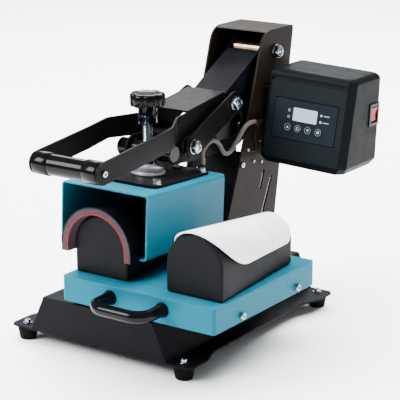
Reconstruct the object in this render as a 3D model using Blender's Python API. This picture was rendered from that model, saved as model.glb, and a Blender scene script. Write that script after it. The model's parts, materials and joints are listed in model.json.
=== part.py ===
"""Shin-guard heat press: bench frame, two-station tray, toggle head and control box.

Frame: +Z up, the operator stands at -Y, the tray shuttles along X. Sizes are written in
millimetres and MM turns them into metres. Every piece hangs on an empty: PRESS for what
stands still, and one empty on each joint's axis for what moves.
"""
import math

import bmesh
import bpy
from mathutils import Matrix, Vector

MM = 0.001
GAP = 0.3            # air left between two pieces that touch

# ---------------------------------------------------------------- driving sizes (mm)
SHEET = 3.0          # folded steel sheet of frame, column and lever

DECK_HALF, DECK_Z = 94.0, 74.0
SKIRT_HALF, FLANGE_Z = 118.5, 19.0
BASE_HALF_Y = 191.0
FLANGE_HALF, FLANGE_WAIST = 156.0, 144.0
TAB_LENGTH = 45.0            # of the wider foot tabs at the flange's corners
SKIRT_SHEET = 3.75           # width across the sloping skirt, measured level
FOOT_X, FOOT_Y, FOOT_H = 136.0, 176.0, 19.0

TRAY_X0, TRAY_X1 = -49.5, 201.5
TRAY_Y0, TRAY_Y1 = -202.0, 52.0
TRAY_Z0, TRAY_Z1 = 81.5, 117.7
TRAY_MID = (TRAY_X0 + TRAY_X1) / 2
TRAY_WALL = 2.0
ROD_R, ROD_Z = 6.0, 92.0
ROD_YS = {"front": -138.0, "rear": 3.0}
BLOCK_HALF_X, BLOCK_HALF_Y, BLOCK_TOP = 43.0, 15.0, 106.0
TRAY_HANDLE_HALF, TRAY_HANDLE_OUT, TRAY_HANDLE_R, TRAY_HANDLE_Z = 43.0, 45.0, 8.5, 101.0

FORM_PITCH = 153.0   # left form to right form
FORM_Y0, FORM_Y1 = -178.0, 21.0
FORM_R0, FORM_R1 = 45.0, 30.0
FORM_TOP0, FORM_TOP1 = 204.0, 184.0
BLANK_Y0, BLANK_Y1 = -181.0, 13.0          # nose and tail of the blank on the right form
BLANK_SKIN = (2.2, 4.4)                    # its faces, measured out from the form
BLANK_NOSE, BLANK_WIDE, BLANK_WIDEST = 4.0, 64.5, 0.343
BLANK_TAPER, BLANK_CORNER, BLANK_CORNER_AT = 0.365, 22.0, 0.92

COL_HALF = 46.0
PANEL_AT, PANEL_LEAN = (0.0, 64.0, 79.0), 14.0           # foot of the column's front panel
PIVOT_A = (192.0, 379.0)     # top link on the column      (y, z)
PIVOT_B = (86.5, 318.5)      # top link to lever
PIVOT_C = (-19.0, 275.0)     # lever to pressing arm
PIVOT_D = (145.0, 294.0)     # pressing arm on the column
PIN_R, HEAD_R, HEAD_T = 6.0, 9.0, 5.0
RUN = 0.3                    # radial play of a pin in its holes
OPEN_HOLE_R = 10.5           # play for the pivot that the joint tree leaves open

LINK_HALF = 28.0
LEVER_HALF, LEVER_WIDE = 32.0, 57.0
ARM_HALF, ARM_NOSE_R, ARM_TAIL_R = 26.4, 19.0, 13.0
ARM_DIP_TOP, ARM_NECK = 262.0, 16.0
PLATE_IN, PLATE_OUT = 40.3, 43.3
LUG_R = 17.0
GRIP_YZ, GRIP_R, GRIP_BODY_R = (-241.5, 285.0), 16.0, 14.6
TIP_R, TIP_TURN = 15.5, 78.0   # the lever's round tip, and how far round it is drawn

STUD_Y = -69.0
SHAFT_Z, SHAFT_R, SHAFT_HALF = 274.0, 12.8, 46.0
STUD_R = 8.0
KNOB_Z0, KNOB_Z1, KNOB_R, KNOB_LOBES = 337.0, 355.5, 25.0, 8
NUT_Z0, NUT_Z1, NUT_R = 313.0, 325.0, 15.0

HEAD_TOP = 236.1             # top of the housing under the stud
HEAD_PITCH = 2.9             # degrees, nose up
HOUSE_HALF, HOUSE_H, HOUSE_WALL, HOUSE_LIP = 73.0, 90.4, 2.2, 11.0
HOUSE_Y0, HOUSE_Y1 = -100.5, 84.5          # from the stud
HOUSE_BACK_RISE, HOUSE_NOTCH = 9.0, 6.0    # back plate above the lips, and round the form
HEATER_Y0, HEATER_Y1, HEATER_Z0 = -190.0, 8.0, 149.0
FACE = (2.0, 2.6)                          # heater layers, measured out from the form
LINER = (2.9, 3.9)
MAT = (4.2, 11.5)
SHELL = (11.8, 13.0)
BOSS_R, BOSS_TOP = 22.7, 19.0
SCREW_XY = [(sx * 49.0, y) for sx in (-1, 1) for y in (-48.0, 60.0)]

BOX_AT = (52.4, 140.4, 230.7)              # front left corner, at the foot of its face
BOX_W, BOX_D = 141.4, 105.0
BOX_ROLL, BOX_LEAN = 2.3, 8.9              # right side low; front face leaning back
CASE_RINGS = ((-8.0, 7.0), (2.0, 0.0), (122.5, 0.0), (126.0, 0.8), (129.2, 3.0),
              (130.6, 5.6), (131.0, 9.0))  # height, and how far the walls are drawn in
CASE_CHAMFER = (8.0, 10.4)                 # of the front right edge, along x and y
CAVITY = ((3.0, 24.0, 2.0), (136.0, 101.0, 126.0))
MOUTH = (5.0, 2.5, 132.2, 121.5)           # x0, z0, x1, z1 of the case's open front
BEZEL_Y, GLASS_Y = (0.5, 4.5), (0.3, 1.5)  # front and back faces
BEZEL_STEP = (114.8, 3.0)                  # height where the bezel drops back, and to where
WINDOW = (14.3, 31.7, 121.6, 92.0)         # x0, z0, x1, z1 in the bezel
INLET = (20.0, 18.0, 47.0, 38.0)           # x0, z0, x1, z1 in the back wall
BRACKET = (20.0, 35.0, 75.0, 100.0)        # y0, z0, y1, z1 beside the box
BUTTON_Z, BUTTON_X0, BUTTON_STEP, BUTTON_R = 50.0, 41.7, 17.2, 6.0
BUTTON_Y = (-1.4, -0.6, 6.4)               # face, edge and back
BOARD = ((12.0, 12.0, 14.0), (124.0, 13.6, 108.0))
ROCKER_AT, ROCKER_SIZE = (84.0, 71.0), (23.0, 28.0)      # y, z on the right wall

# The model's origin is the middle of its own footprint, on the floor.
CENTRE_X = (TRAY_X1 - FLANGE_HALF) / 2
CENTRE_Y = (GRIP_YZ[0] - GRIP_R + BOX_AT[1] + BOX_D) / 2

COLOURS = {
    "black_steel": ((0.012, 0.012, 0.013), 0.55, 0.0),
    "black_gloss": ((0.010, 0.010, 0.011), 0.20, 0.0),
    "teal_steel": ((0.010, 0.200, 0.260), 0.35, 0.0),
    "rubber": ((0.015, 0.015, 0.015), 0.80, 0.0),
    "form_black": ((0.020, 0.020, 0.023), 0.60, 0.0),
    "bright_steel": ((0.620, 0.620, 0.640), 0.25, 1.0),
    "aluminium": ((0.700, 0.700, 0.720), 0.35, 1.0),
    "copper": ((0.600, 0.330, 0.200), 0.30, 1.0),
    "red_silicone": ((0.700, 0.040, 0.050), 0.60, 0.0),
    "grey_foam": ((0.190, 0.160, 0.170), 0.90, 0.0),
    "white_plastic": ((0.850, 0.850, 0.850), 0.30, 0.0),
    "dark_panel": ((0.030, 0.036, 0.044), 0.30, 0.0),
    "clear_window": ((0.020, 0.024, 0.030), 0.10, 0.0),
    "red_switch": ((0.650, 0.030, 0.030), 0.30, 0.0),
    "grey_braid": ((0.330, 0.300, 0.290), 0.80, 0.0),
    "board_green": ((0.020, 0.180, 0.070), 0.50, 0.0),
}


# ---------------------------------------------------------------- scene helpers
def clear_scene():
    for obj in list(bpy.data.objects):
        bpy.data.objects.remove(obj, do_unlink=True)


def material(slot):
    mat = bpy.data.materials.get(slot)
    if mat is None:
        colour, rough, metal = COLOURS[slot]
        mat = bpy.data.materials.new(slot)
        mat.use_nodes = True
        shader = mat.node_tree.nodes["Principled BSDF"]
        shader.inputs["Base Color"].default_value = (*colour, 1.0)
        shader.inputs["Roughness"].default_value = rough
        shader.inputs["Metallic"].default_value = metal
    return mat


def empty(name, at, parent=None, pitch=0.0, roll=0.0):
    """An axis or corner that pieces hang on; at is in mm in the parent's frame."""
    obj = bpy.data.objects.new(name, None)
    bpy.context.scene.collection.objects.link(obj)
    obj.parent = parent
    obj.location = Vector(at) * MM
    obj.rotation_euler = (math.radians(pitch), math.radians(roll), 0.0)
    return obj


def piece(name, bm, slot, group, at=(0, 0, 0), smooth=True):
    """Make bm (mm) the object name: a child of group, whose origin is at (mm)."""
    bmesh.ops.recalc_face_normals(bm, faces=bm.faces)
    bmesh.ops.transform(bm, matrix=Matrix.Scale(MM, 4) @ Matrix.Translation(-Vector(at)),
                        verts=bm.verts)
    mesh = bpy.data.meshes.new(name)
    bm.to_mesh(mesh)
    bm.free()
    if smooth:
        mesh.shade_smooth()
        mesh.set_sharp_from_angle(angle=math.radians(35))
    obj = bpy.data.objects.new(name, mesh)
    bpy.context.scene.collection.objects.link(obj)
    obj.parent = group
    obj.data.materials.append(material(slot))
    return obj


def combine(obj, bm, group, at=(0, 0, 0), operation="DIFFERENCE"):
    """Cut bm away from obj, or join it on, through a hidden helper object."""
    tool = piece(f"{obj.name}_tool{len(obj.modifiers)}", bm, "black_steel", group, at, False)
    tool.hide_render = True
    tool.display_type = "WIRE"
    mod = obj.modifiers.new(operation.title(), "BOOLEAN")
    mod.operation = operation
    mod.solver = "EXACT"
    mod.object = tool
    return obj


def soften(obj, width, segments=2, angle=50):
    mod = obj.modifiers.new("Bevel", "BEVEL")
    mod.width = width * MM
    mod.segments = segments
    mod.limit_method = "ANGLE"
    mod.angle_limit = math.radians(angle)
    return obj


# ---------------------------------------------------------------- shape helpers (mm)
def along(axis, a, b, depth):
    """The point whose cross-section place is (a, b) and whose place on axis is depth."""
    return {"x": (depth, a, b), "y": (a, depth, b), "z": (a, b, depth)}[axis]


def prism(outline, axis, low, high, bm=None):
    """A closed outline, extruded along an axis."""
    bm = bm or bmesh.new()
    face = bm.faces.new([bm.verts.new(along(axis, a, b, low)) for a, b in outline])
    new = bmesh.ops.extrude_face_region(bm, geom=[face])["geom"]
    verts = [v for v in new if isinstance(v, bmesh.types.BMVert)]
    bmesh.ops.translate(bm, verts=verts, vec=along(axis, 0, 0, high - low))
    return bm


def box(low, high, bm=None):
    outline = [(low[0], low[1]), (high[0], low[1]), (high[0], high[1]), (low[0], high[1])]
    return prism(outline, "z", low[2], high[2], bm)


def arc(centre, radius, start, end, steps):
    """Points on a circle from start to end, in degrees."""
    angles = (math.radians(start + (end - start) * i / steps) for i in range(steps + 1))
    return [(centre[0] + radius * math.cos(t), centre[1] + radius * math.sin(t))
            for t in angles]


def rounded(corners, steps=4):
    """An outline whose corners (a, b, radius) are rounded by tangent arcs."""
    points = []
    for i, (a, b, radius) in enumerate(corners):
        here = Vector((a, b))
        before = (Vector(corners[i - 1][:2]) - here).normalized()
        after = (Vector(corners[(i + 1) % len(corners)][:2]) - here).normalized()
        if radius <= 0:
            points.append((a, b))
            continue
        half = before.angle(after) / 2
        reach = radius / math.tan(half)
        middle = here + (before + after).normalized() * radius / math.sin(half)
        first = here + before * reach - middle
        last = here + after * reach - middle
        turn = math.atan2(first.cross(last), first.dot(last))
        for k in range(steps + 1):
            t = turn * k / steps
            points.append((middle.x + first.x * math.cos(t) - first.y * math.sin(t),
                           middle.y + first.x * math.sin(t) + first.y * math.cos(t)))
    return points


def stadium(p, q, rp, rq, steps=10):
    """The outline of a flat bar with a round end of radius rp at p and rq at q."""
    p, q = Vector(p), Vector(q)
    along_bar = q - p
    lean = math.asin((rp - rq) / along_bar.length)
    side = math.degrees(math.atan2(along_bar.y, along_bar.x))
    open_ = 90 - math.degrees(lean)
    return (arc(q, rq, side - open_, side + open_, steps)
            + arc(p, rp, side + open_, side + 360 - open_, steps))


def cylinder(axis, centre, radius, low, high, sides=24, bm=None):
    """A round bar: centre is its place across the axis."""
    return prism(arc(centre, radius, 0, 360 - 360 / sides, sides - 1), axis, low, high, bm)


def turned(profile, axis, centre, steps=24):
    """A profile of (radius, depth) points turned about a line along axis."""
    bm = bmesh.new()
    rings = []
    for radius, depth in profile:
        if radius < 1e-6:
            rings.append([bm.verts.new(along(axis, *centre, depth))])
        else:
            circle = arc(centre, radius, 0, 360 - 360 / steps, steps - 1)
            rings.append([bm.verts.new(along(axis, a, b, depth)) for a, b in circle])
    for one, two in zip(rings, rings[1:]):
        for i in range(steps):
            j = (i + 1) % steps
            corner = [one[i % len(one)], one[j % len(one)], two[j % len(two)], two[i % len(two)]]
            bm.faces.new(list(dict.fromkeys(corner)))
    for ring in (rings[0], rings[-1]):
        if len(ring) > 1:
            bm.faces.new(ring)
    return bm


def folded(path, thickness, bend, steps=4):
    """The outline of a sheet folded along an open path of outer corners, seen edge-on."""
    count = len(path)
    outer, inner = [], []
    for i, point in enumerate(path):
        here = Vector(point)
        ahead = (Vector(path[min(i + 1, count - 1)]) - here)
        behind = (here - Vector(path[max(i - 1, 0)]))
        ahead = (ahead if ahead.length else behind).normalized()
        behind = (behind if behind.length else ahead).normalized()
        normal = Vector((ahead.y + behind.y, -ahead.x - behind.x)).normalized()
        stretch = 1 / normal.dot(Vector((ahead.y, -ahead.x)))
        within = here + normal * thickness * stretch
        is_end = i in (0, count - 1)
        outer.append((*here, 0 if is_end else bend))
        inner.append((*within, 0 if is_end else max(bend - thickness, 0.4)))
    return rounded(outer + inner[::-1], steps)


def skin(rings, bm=None):
    """A closed solid lofted through rings of equal length."""
    bm = bm or bmesh.new()
    loops = [[bm.verts.new(p) for p in ring] for ring in rings]
    count = len(loops[0])
    for one, two in zip(loops, loops[1:]):
        for i in range(count):
            j = (i + 1) % count
            bm.faces.new((one[i], one[j], two[j], two[i]))
    bm.faces.new(loops[0])
    bm.faces.new(loops[-1])
    return bm


def pin_bore(y_z, radius=PIN_R + RUN, reach=70.0):
    return cylinder("x", y_z, radius, -reach, reach, 20)


def headed_pin(grip_half, head=HEAD_T):
    """A through bolt along X: shank between the grip faces and a head at both ends."""
    end = grip_half + GAP
    return [(HEAD_R - 1, -end - head), (HEAD_R, -end - head + 1), (HEAD_R, -end), (PIN_R, -end),
            (PIN_R, end), (HEAD_R, end), (HEAD_R, end + head - 1), (HEAD_R - 1, end + head)]


# ---------------------------------------------------------------- frame and tray
def base_frame(press):
    skirt = [(-SKIRT_HALF, FLANGE_Z), (SKIRT_HALF, FLANGE_Z), (DECK_HALF, DECK_Z),
             (-DECK_HALF, DECK_Z)]
    frame = piece("base_frame", prism(skirt, "y", -BASE_HALF_Y, BASE_HALF_Y),
                  "black_steel", press)
    corners = []
    for sx in (-1, 1):
        for sy in (-1, 1):
            corners += [(sx * FLANGE_WAIST, sy * (BASE_HALF_Y - TAB_LENGTH - 30.0), 60.0),
                        (sx * FLANGE_HALF, sy * (BASE_HALF_Y - TAB_LENGTH), 25.0),
                        (sx * FLANGE_HALF, sy * BASE_HALF_Y, 10.0)]
    corners.sort(key=lambda corner: math.atan2(corner[1], corner[0]))
    combine(frame, prism(rounded(corners), "z", FLANGE_Z, FLANGE_Z + SHEET), press,
            operation="UNION")
    spread = (SKIRT_HALF - DECK_HALF) / (DECK_Z - FLANGE_Z)
    below = 22.4
    low, top = SKIRT_HALF + spread * below - SKIRT_SHEET, DECK_HALF - SKIRT_SHEET
    hollow = [(-low, FLANGE_Z - below), (low, FLANGE_Z - below), (top, DECK_Z - SHEET),
              (-top, DECK_Z - SHEET)]
    combine(frame, prism(hollow, "y", -BASE_HALF_Y + SHEET, BASE_HALF_Y - SHEET), press)
    return frame


def feet(press):
    profile = [(10.5, 0.0), (12.0, 1.5), (15.0, FOOT_H - 2.0), (14.5, FOOT_H - GAP)]
    for side, sx in (("left", -1), ("right", 1)):
        for end, sy in (("front", -1), ("rear", 1)):
            piece(f"foot_{end}_{side}", turned(profile, "z", (sx * FOOT_X, sy * FOOT_Y), 20),
                  "rubber", press)


def tray(press):
    plan = [(TRAY_X0, TRAY_Y0, 5), (TRAY_X1, TRAY_Y0, 5), (TRAY_X1, TRAY_Y1, 5),
            (TRAY_X0, TRAY_Y1, 5)]
    body = piece("tray", prism(rounded(plan), "z", TRAY_Z0, TRAY_Z1), "teal_steel", press)
    t = TRAY_WALL
    inside = [(TRAY_X0 + t, TRAY_Y0 + t, 3), (TRAY_X1 - t, TRAY_Y0 + t, 3),
              (TRAY_X1 - t, TRAY_Y1 - t, 3), (TRAY_X0 + t, TRAY_Y1 - t, 3)]
    combine(body, prism(rounded(inside), "z", TRAY_Z0 - 5, TRAY_Z1 - t), press)

    for end, y in ROD_YS.items():
        rod = cylinder("x", (y, ROD_Z), ROD_R, TRAY_X0 + t + GAP, TRAY_X1 - t - GAP, 16)
        piece(f"guide_rod_{end}", rod, "bright_steel", press)
        block = [(y - BLOCK_HALF_Y, DECK_Z + GAP, 0), (y + BLOCK_HALF_Y, DECK_Z + GAP, 0),
                 (y + BLOCK_HALF_Y, BLOCK_TOP, 4), (y - BLOCK_HALF_Y, BLOCK_TOP, 4)]
        bearing = piece(f"rod_bearing_{end}", prism(rounded(block), "x", -BLOCK_HALF_X,
                                                    BLOCK_HALF_X), "aluminium", press)
        combine(bearing, cylinder("x", (y, ROD_Z), ROD_R + RUN, -60, 60, 16), press)


def tray_handle(press):
    """A bow handle: two legs and a bar, swept round two bends."""
    out = TRAY_Y0 - TRAY_HANDLE_OUT
    bend = 22.0
    left, right = TRAY_MID - TRAY_HANDLE_HALF, TRAY_MID + TRAY_HANDLE_HALF
    route = [(left, TRAY_Y0 - GAP)]
    route += arc((left + bend, out + bend), bend, 180, 270, 6)
    route += arc((right - bend, out + bend), bend, 270, 360, 6)
    route += [(right, TRAY_Y0 - GAP)]
    rings = []
    for i, (x, y) in enumerate(route):
        ahead = Vector(route[min(i + 1, len(route) - 1)]) - Vector(route[max(i - 1, 0)])
        across = Vector((ahead.y, -ahead.x)).normalized()
        if i in (0, len(route) - 1):
            across = Vector((1, 0)) * (-1 if i == 0 else 1)
        ring = arc((0, 0), TRAY_HANDLE_R, 0, 330, 11)
        rings.append([(x + across.x * a, y + across.y * a, TRAY_HANDLE_Z + b) for a, b in ring])
    piece("tray_handle", skin(rings), "black_gloss", press)


def form_radius(y):
    return FORM_R0 + (FORM_R1 - FORM_R0) * (y - FORM_Y0) / (FORM_Y1 - FORM_Y0)


def form_top(y):
    return FORM_TOP0 + (FORM_TOP1 - FORM_TOP0) * (y - FORM_Y0) / (FORM_Y1 - FORM_Y0)


def form_section(x, y, offset, foot, steps=20):
    """The D section of a form at y, grown by offset, from foot up one side and down the other."""
    radius = form_radius(y)
    centre = form_top(y) - radius
    over = arc((x, centre), radius + offset, 0, 180, steps)
    return [(x + radius + offset, foot)] + over + [(x - radius - offset, foot)]


def forms(press):
    for side, x in (("left", 0.0), ("right", FORM_PITCH)):
        rings = [[(a, y, b) for a, b in form_section(x, y, 0.0, TRAY_Z1 + GAP)]
                 for y in (FORM_Y0, FORM_Y1)]
        soften(piece(f"form_{side}", skin(rings), "form_black", press), 4.0, 3, 60)


def blank(parent, at):
    """The white guard shell laid over the right form: a curved sheet with a shaped edge."""
    stations, across = 22, 12
    inner, outer = BLANK_SKIN

    def half_width(t):
        """Distance from ridge to edge, measured round the form, at t along the shell."""
        nose = min(1.0, t / BLANK_WIDEST)
        width = BLANK_NOSE + (BLANK_WIDE - BLANK_NOSE) * math.sqrt(nose * (2 - nose))
        width *= 1.0 - BLANK_TAPER * max(0.0, t - BLANK_WIDEST)
        corner = max(0.0, (t - BLANK_CORNER_AT) / (1.0 - BLANK_CORNER_AT))
        return width - BLANK_CORNER * (1.0 - math.sqrt(max(0.0, 1.0 - corner ** 2)))

    def point(y, s, offset):
        radius = form_radius(y)
        centre = form_top(y) - radius
        quarter = radius * math.pi / 2
        sign = -1 if s < 0 else 1
        if abs(s) <= quarter:
            t = s / radius
            return (FORM_PITCH + (radius + offset) * math.sin(t), y,
                    centre + (radius + offset) * math.cos(t))
        return (FORM_PITCH + sign * (radius + offset), y, centre - (abs(s) - quarter))

    rings = []
    for i in range(stations + 1):
        t = (1.0 - math.cos(math.pi * i / stations)) / 2      # closer together at both ends
        y = BLANK_Y0 + (BLANK_Y1 - BLANK_Y0) * t
        reach = half_width(t)
        row = [reach * (2 * k / across - 1) for k in range(across + 1)]
        rings.append([point(y, s, outer) for s in row] + [point(y, s, inner) for s in row[::-1]])
    piece("guard_blank", skin(rings), "white_plastic", parent, at)


# ---------------------------------------------------------------- column and toggle
def column(press):
    back_low, back_top = (188.0, DECK_Z + GAP), (243.0, 413.0)
    outline = rounded([(58.0, DECK_Z + GAP, 0), (*back_low, 0), (*back_top, 5),
                       (158.0, 413.0, 28), (137.0, 344.0, 60), (93.0, 217.0, 0),
                       (58.0, 126.0, 20)], 6)
    body = piece("column", prism(outline, "x", -COL_HALF, COL_HALF), "black_steel", press)
    lean = (back_top[0] - back_low[0]) / (back_top[1] - back_low[1])

    def back(z, inset):
        return back_low[0] + lean * (z - back_low[1]) - inset

    top, floor = back_top[1] - SHEET, DECK_Z + GAP + SHEET
    hollow = [(0, floor), (back(floor, SHEET), floor), (back(top, SHEET), top), (100, top)]
    inner = COL_HALF - SHEET
    combine(body, prism(hollow, "x", -inner, inner), press)
    combine(body, box((-34, 170, 100), (34, 260, 255)), press)      # the open lower back
    for pivot in (PIVOT_A, PIVOT_D):
        combine(body, pin_bore(pivot), press)
    for low, high in (((154.0, 176.0), (164.0, 201.0)), ((160.0, 135.0), (185.0, 187.0))):
        combine(body, prism(stadium(low, high, 2.5, 2.5, 4), "x", -70, 70), press)

    panel = rounded([(-42.6, 0, 0), (42.6, 0, 0), (42.6, 168, 3), (-42.6, 168, 12)])
    holder = empty("panel_corner", PANEL_AT, press, -PANEL_LEAN)
    piece("column_front_panel", prism(panel, "y", 0, 2.0), "black_steel", holder)

    piece("top_pivot_bolt", turned(headed_pin(COL_HALF), "x", PIVOT_A, 20), "bright_steel", press)
    piece("arm_pivot_pin", cylinder("x", PIVOT_D, PIN_R, -COL_HALF, COL_HALF, 20),
          "black_steel", press)
    sleeve = piece("top_spacer_sleeve", cylinder("x", PIVOT_A, 9.5, -24.6, 24.6, 20),
                   "copper", press)
    combine(sleeve, pin_bore(PIVOT_A), press)


def upper_link(axis, at):
    """A folded channel from pivot A down to pivot B, with its web on top."""
    web_low, web_top = Vector((81.7, 330.8)), Vector((173.0, 379.4))
    run = (web_top - web_low).normalized()
    up = Vector((-run.y, run.x))
    slope = math.degrees(math.atan2(run.y, run.x))
    outline = (arc(PIVOT_A, 15.0, slope + 90, slope - 80, 8)
               + arc(PIVOT_B, 16.0, slope - 100, slope - 215, 8))
    outline += [tuple(Vector(PIVOT_B) + up * 13.2 - run * 10.5), tuple(web_low), tuple(web_top)]
    body = piece("upper_link", prism(outline, "x", -LINK_HALF, LINK_HALF), "black_steel", axis, at)
    below_low = web_low - run * 30 - up * SHEET
    below_top = web_top - up * SHEET
    channel = [tuple(below_low), tuple(below_top), tuple(web_top + up * 30),
               (230, 420), (230, 270), (60, 270)]
    combine(body, prism(channel, "x", -LINK_HALF + SHEET, LINK_HALF - SHEET), axis, at)
    combine(body, pin_bore(PIVOT_A), axis, at)
    combine(body, pin_bore(PIVOT_B, OPEN_HOLE_R), axis, at)


def lever_side(sign):
    """One arm of the lever, bent outwards: sections (y, middle x, top z, bottom z)."""
    near, wide = LEVER_HALF - SHEET / 2, LEVER_WIDE - SHEET / 2
    stations = [(75.5, near, 333.0, 317.0), (55.0, near, 330.5, 300.0), (30.0, near, 327.5, 280.0),
                (5.0, near, 324.5, 264.0), (-8.0, near, 323.0, 259.0), (-19.0, near, 321.5, 257.5),
                (-30.0, near, 320.3, 260.0), (-42.0, near, 319.0, 272.0),
                (-50.0, near + 4.5, 318.7, 287.5), (-88.0, wide, 317.0, 287.0),
                (-132.0, wide, 311.5, 280.5)]
    y, z = GRIP_YZ
    for turn in (0, 20, 40, 60, TIP_TURN):
        back, rise = (TIP_R * f(math.radians(turn)) for f in (math.sin, math.cos))
        stations.append((y - back, wide, z + rise, z - rise))
    half = SHEET / 2
    rings = []
    for y, x, top, low in stations:
        rings.append([(sign * (x + half), y, top), (sign * (x + half), y, low),
                      (sign * (x - half), y, low), (sign * (x - half), y, top)])
    return skin(rings)


def lever(axis, at):
    web = [(75.5, 336.0), (75.5, 333.0), (-18.0, 321.0), (-18.0, 324.0)]
    frame = piece("lever_frame", prism(web, "x", -LEVER_HALF, LEVER_HALF), "black_steel", axis, at)
    for sign in (-1, 1):
        combine(frame, lever_side(sign), axis, at, "UNION")
        rim = [(75.5, 335.9), (75.5, 331.0), (-18.0, 319.0), (-18.0, 323.9)]
        inner, outer = sorted((sign * (LEVER_HALF - SHEET + 0.05), sign * (LEVER_HALF - 0.05)))
        combine(frame, prism(rim, "x", inner, outer), axis, at, "UNION")
    combine(frame, pin_bore(PIVOT_C), axis, at)

    for side, sign in (("left", -1), ("right", 1)):
        low, high = sorted((sign * PLATE_IN, sign * PLATE_OUT))
        plate = piece(f"link_plate_{side}",
                      prism(stadium(PIVOT_C, PIVOT_B, LUG_R, LUG_R), "x", low, high),
                      "black_steel", axis, at)
        for pivot in (PIVOT_B, PIVOT_C):
            combine(plate, pin_bore(pivot), axis, at)
        low, high = sorted((sign * (LEVER_HALF + GAP), sign * (PLATE_IN - GAP)))
        boss = piece(f"lever_boss_{side}", cylinder("x", PIVOT_C, 12.0, low, high, 24),
                     "black_gloss", axis, at)
        combine(boss, pin_bore(PIVOT_C), axis, at)

    piece("lever_pivot_bolt", turned(headed_pin(PLATE_OUT), "x", PIVOT_C, 20), "bright_steel",
          axis, at)
    collar_in, collar_out, collar_r = LINK_HALF + 1.0, PLATE_IN - GAP, 9.0
    shank = headed_pin(PLATE_OUT)
    collar = [(PIN_R, -collar_out), (collar_r, -collar_out), (collar_r, -collar_in),
              (PIN_R, -collar_in)]
    mirror = [(r, -d) for r, d in collar[::-1]]
    piece("link_pivot_bolt", turned(shank[:4] + collar + mirror + shank[4:], "x", PIVOT_B, 20),
          "bright_steel", axis, at)

    half = LEVER_WIDE - SHEET - GAP
    ring, body = GRIP_R, GRIP_BODY_R
    half_profile = [(ring - 1.5, half), (ring, half - 1.5), (ring, 29.0), (body, 28.0)]
    profile = [(r, -d) for r, d in half_profile] + half_profile[::-1]
    piece("grip", turned(profile, "x", GRIP_YZ, 24), "black_gloss", axis, at)


def pressing_arm(axis, at):
    """A swan-necked channel: it dips behind the lever's pivot, where the toggle folds down."""
    nose = (STUD_Y, SHAFT_Z)
    front, top, low = STUD_Y - ARM_NOSE_R, SHAFT_Z + ARM_NOSE_R, SHAFT_Z - ARM_NOSE_R
    dip, neck = ARM_DIP_TOP, ARM_DIP_TOP - ARM_NECK
    tail_y, tail_z = PIVOT_D
    r = ARM_TAIL_R
    outline = rounded([(front, top, ARM_NOSE_R - 0.1), (front, low, ARM_NOSE_R - 0.1),
                       (0.0, neck + 1.0, 40), (tail_y - 17.0, neck, 30),
                       (tail_y + r, tail_z - 18.0, 10), (tail_y + r, tail_z + r, r - 0.1),
                       (tail_y - r, tail_z + r, r - 0.1), (tail_y - r, tail_z - 12.0, 6),
                       (tail_y - 30.0, dip, 10), (72.0, dip, 14), (32.0, top, 20)], 5)
    arm = piece("pressing_arm", prism(outline, "x", -ARM_HALF, ARM_HALF), "black_steel", axis, at)
    web_front, web_back, floor_front, floor_back = -40.0, 20.0, 52.0, 120.0
    channel = [(-110, 230), (-110, 330), (web_front, 330), (web_front, top - SHEET),
               (web_back, top - SHEET), (web_back, 330), (190, 330), (190, 230),
               (floor_back, 230), (floor_back, neck + SHEET), (floor_front, neck + SHEET),
               (floor_front, 230)]
    inner = ARM_HALF - SHEET
    combine(arm, prism(channel, "x", -inner, inner), axis, at)
    combine(arm, pin_bore(PIVOT_C), axis, at)
    combine(arm, pin_bore(PIVOT_D), axis, at)
    combine(arm, pin_bore(nose, SHAFT_R + RUN), axis, at)
    bar = [(SHAFT_R - 1.5, SHAFT_HALF), (SHAFT_R, SHAFT_HALF - 1.5)]
    bar = [(r, -d) for r, d in bar] + bar[::-1]
    shaft = piece("cross_shaft", turned(bar, "x", nose), "black_gloss", axis, at)
    combine(shaft, cylinder("z", (0, STUD_Y), STUD_R + RUN, 250, 300), axis, at)


def pressure_screw(axis, at):
    lobes, steps = KNOB_LOBES, 5
    outline = []
    for i in range(lobes * steps):
        t = 2 * math.pi * i / (lobes * steps)
        radius = KNOB_R - 1.6 + 1.6 * math.cos(lobes * t)
        outline.append((radius * math.cos(t), STUD_Y + radius * math.sin(t)))
    knob = piece("star_knob", prism(outline, "z", KNOB_Z0, KNOB_Z1), "black_gloss", axis, at)
    soften(knob, 2.0, 1, 60)
    hub = cylinder("z", (0, STUD_Y), 13.5, NUT_Z1 + GAP, KNOB_Z0 + 3)
    combine(knob, hub, axis, at, "UNION")
    combine(knob, cylinder("z", (0, STUD_Y), STUD_R + RUN, 300, 350.3), axis, at)
    nut = piece("lock_nut", prism(arc((0, STUD_Y), NUT_R, 0, 300, 5), "z", NUT_Z0, NUT_Z1),
                "bright_steel", axis, at)
    combine(nut, cylinder("z", (0, STUD_Y), STUD_R + RUN, 300, 350), axis, at)
    stud = [(STUD_R - 2, 246.0), (STUD_R, 248.0), (STUD_R, 350.0)]
    piece("pressure_stud", turned(stud, "z", (0, STUD_Y)), "bright_steel", axis, at)


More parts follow.
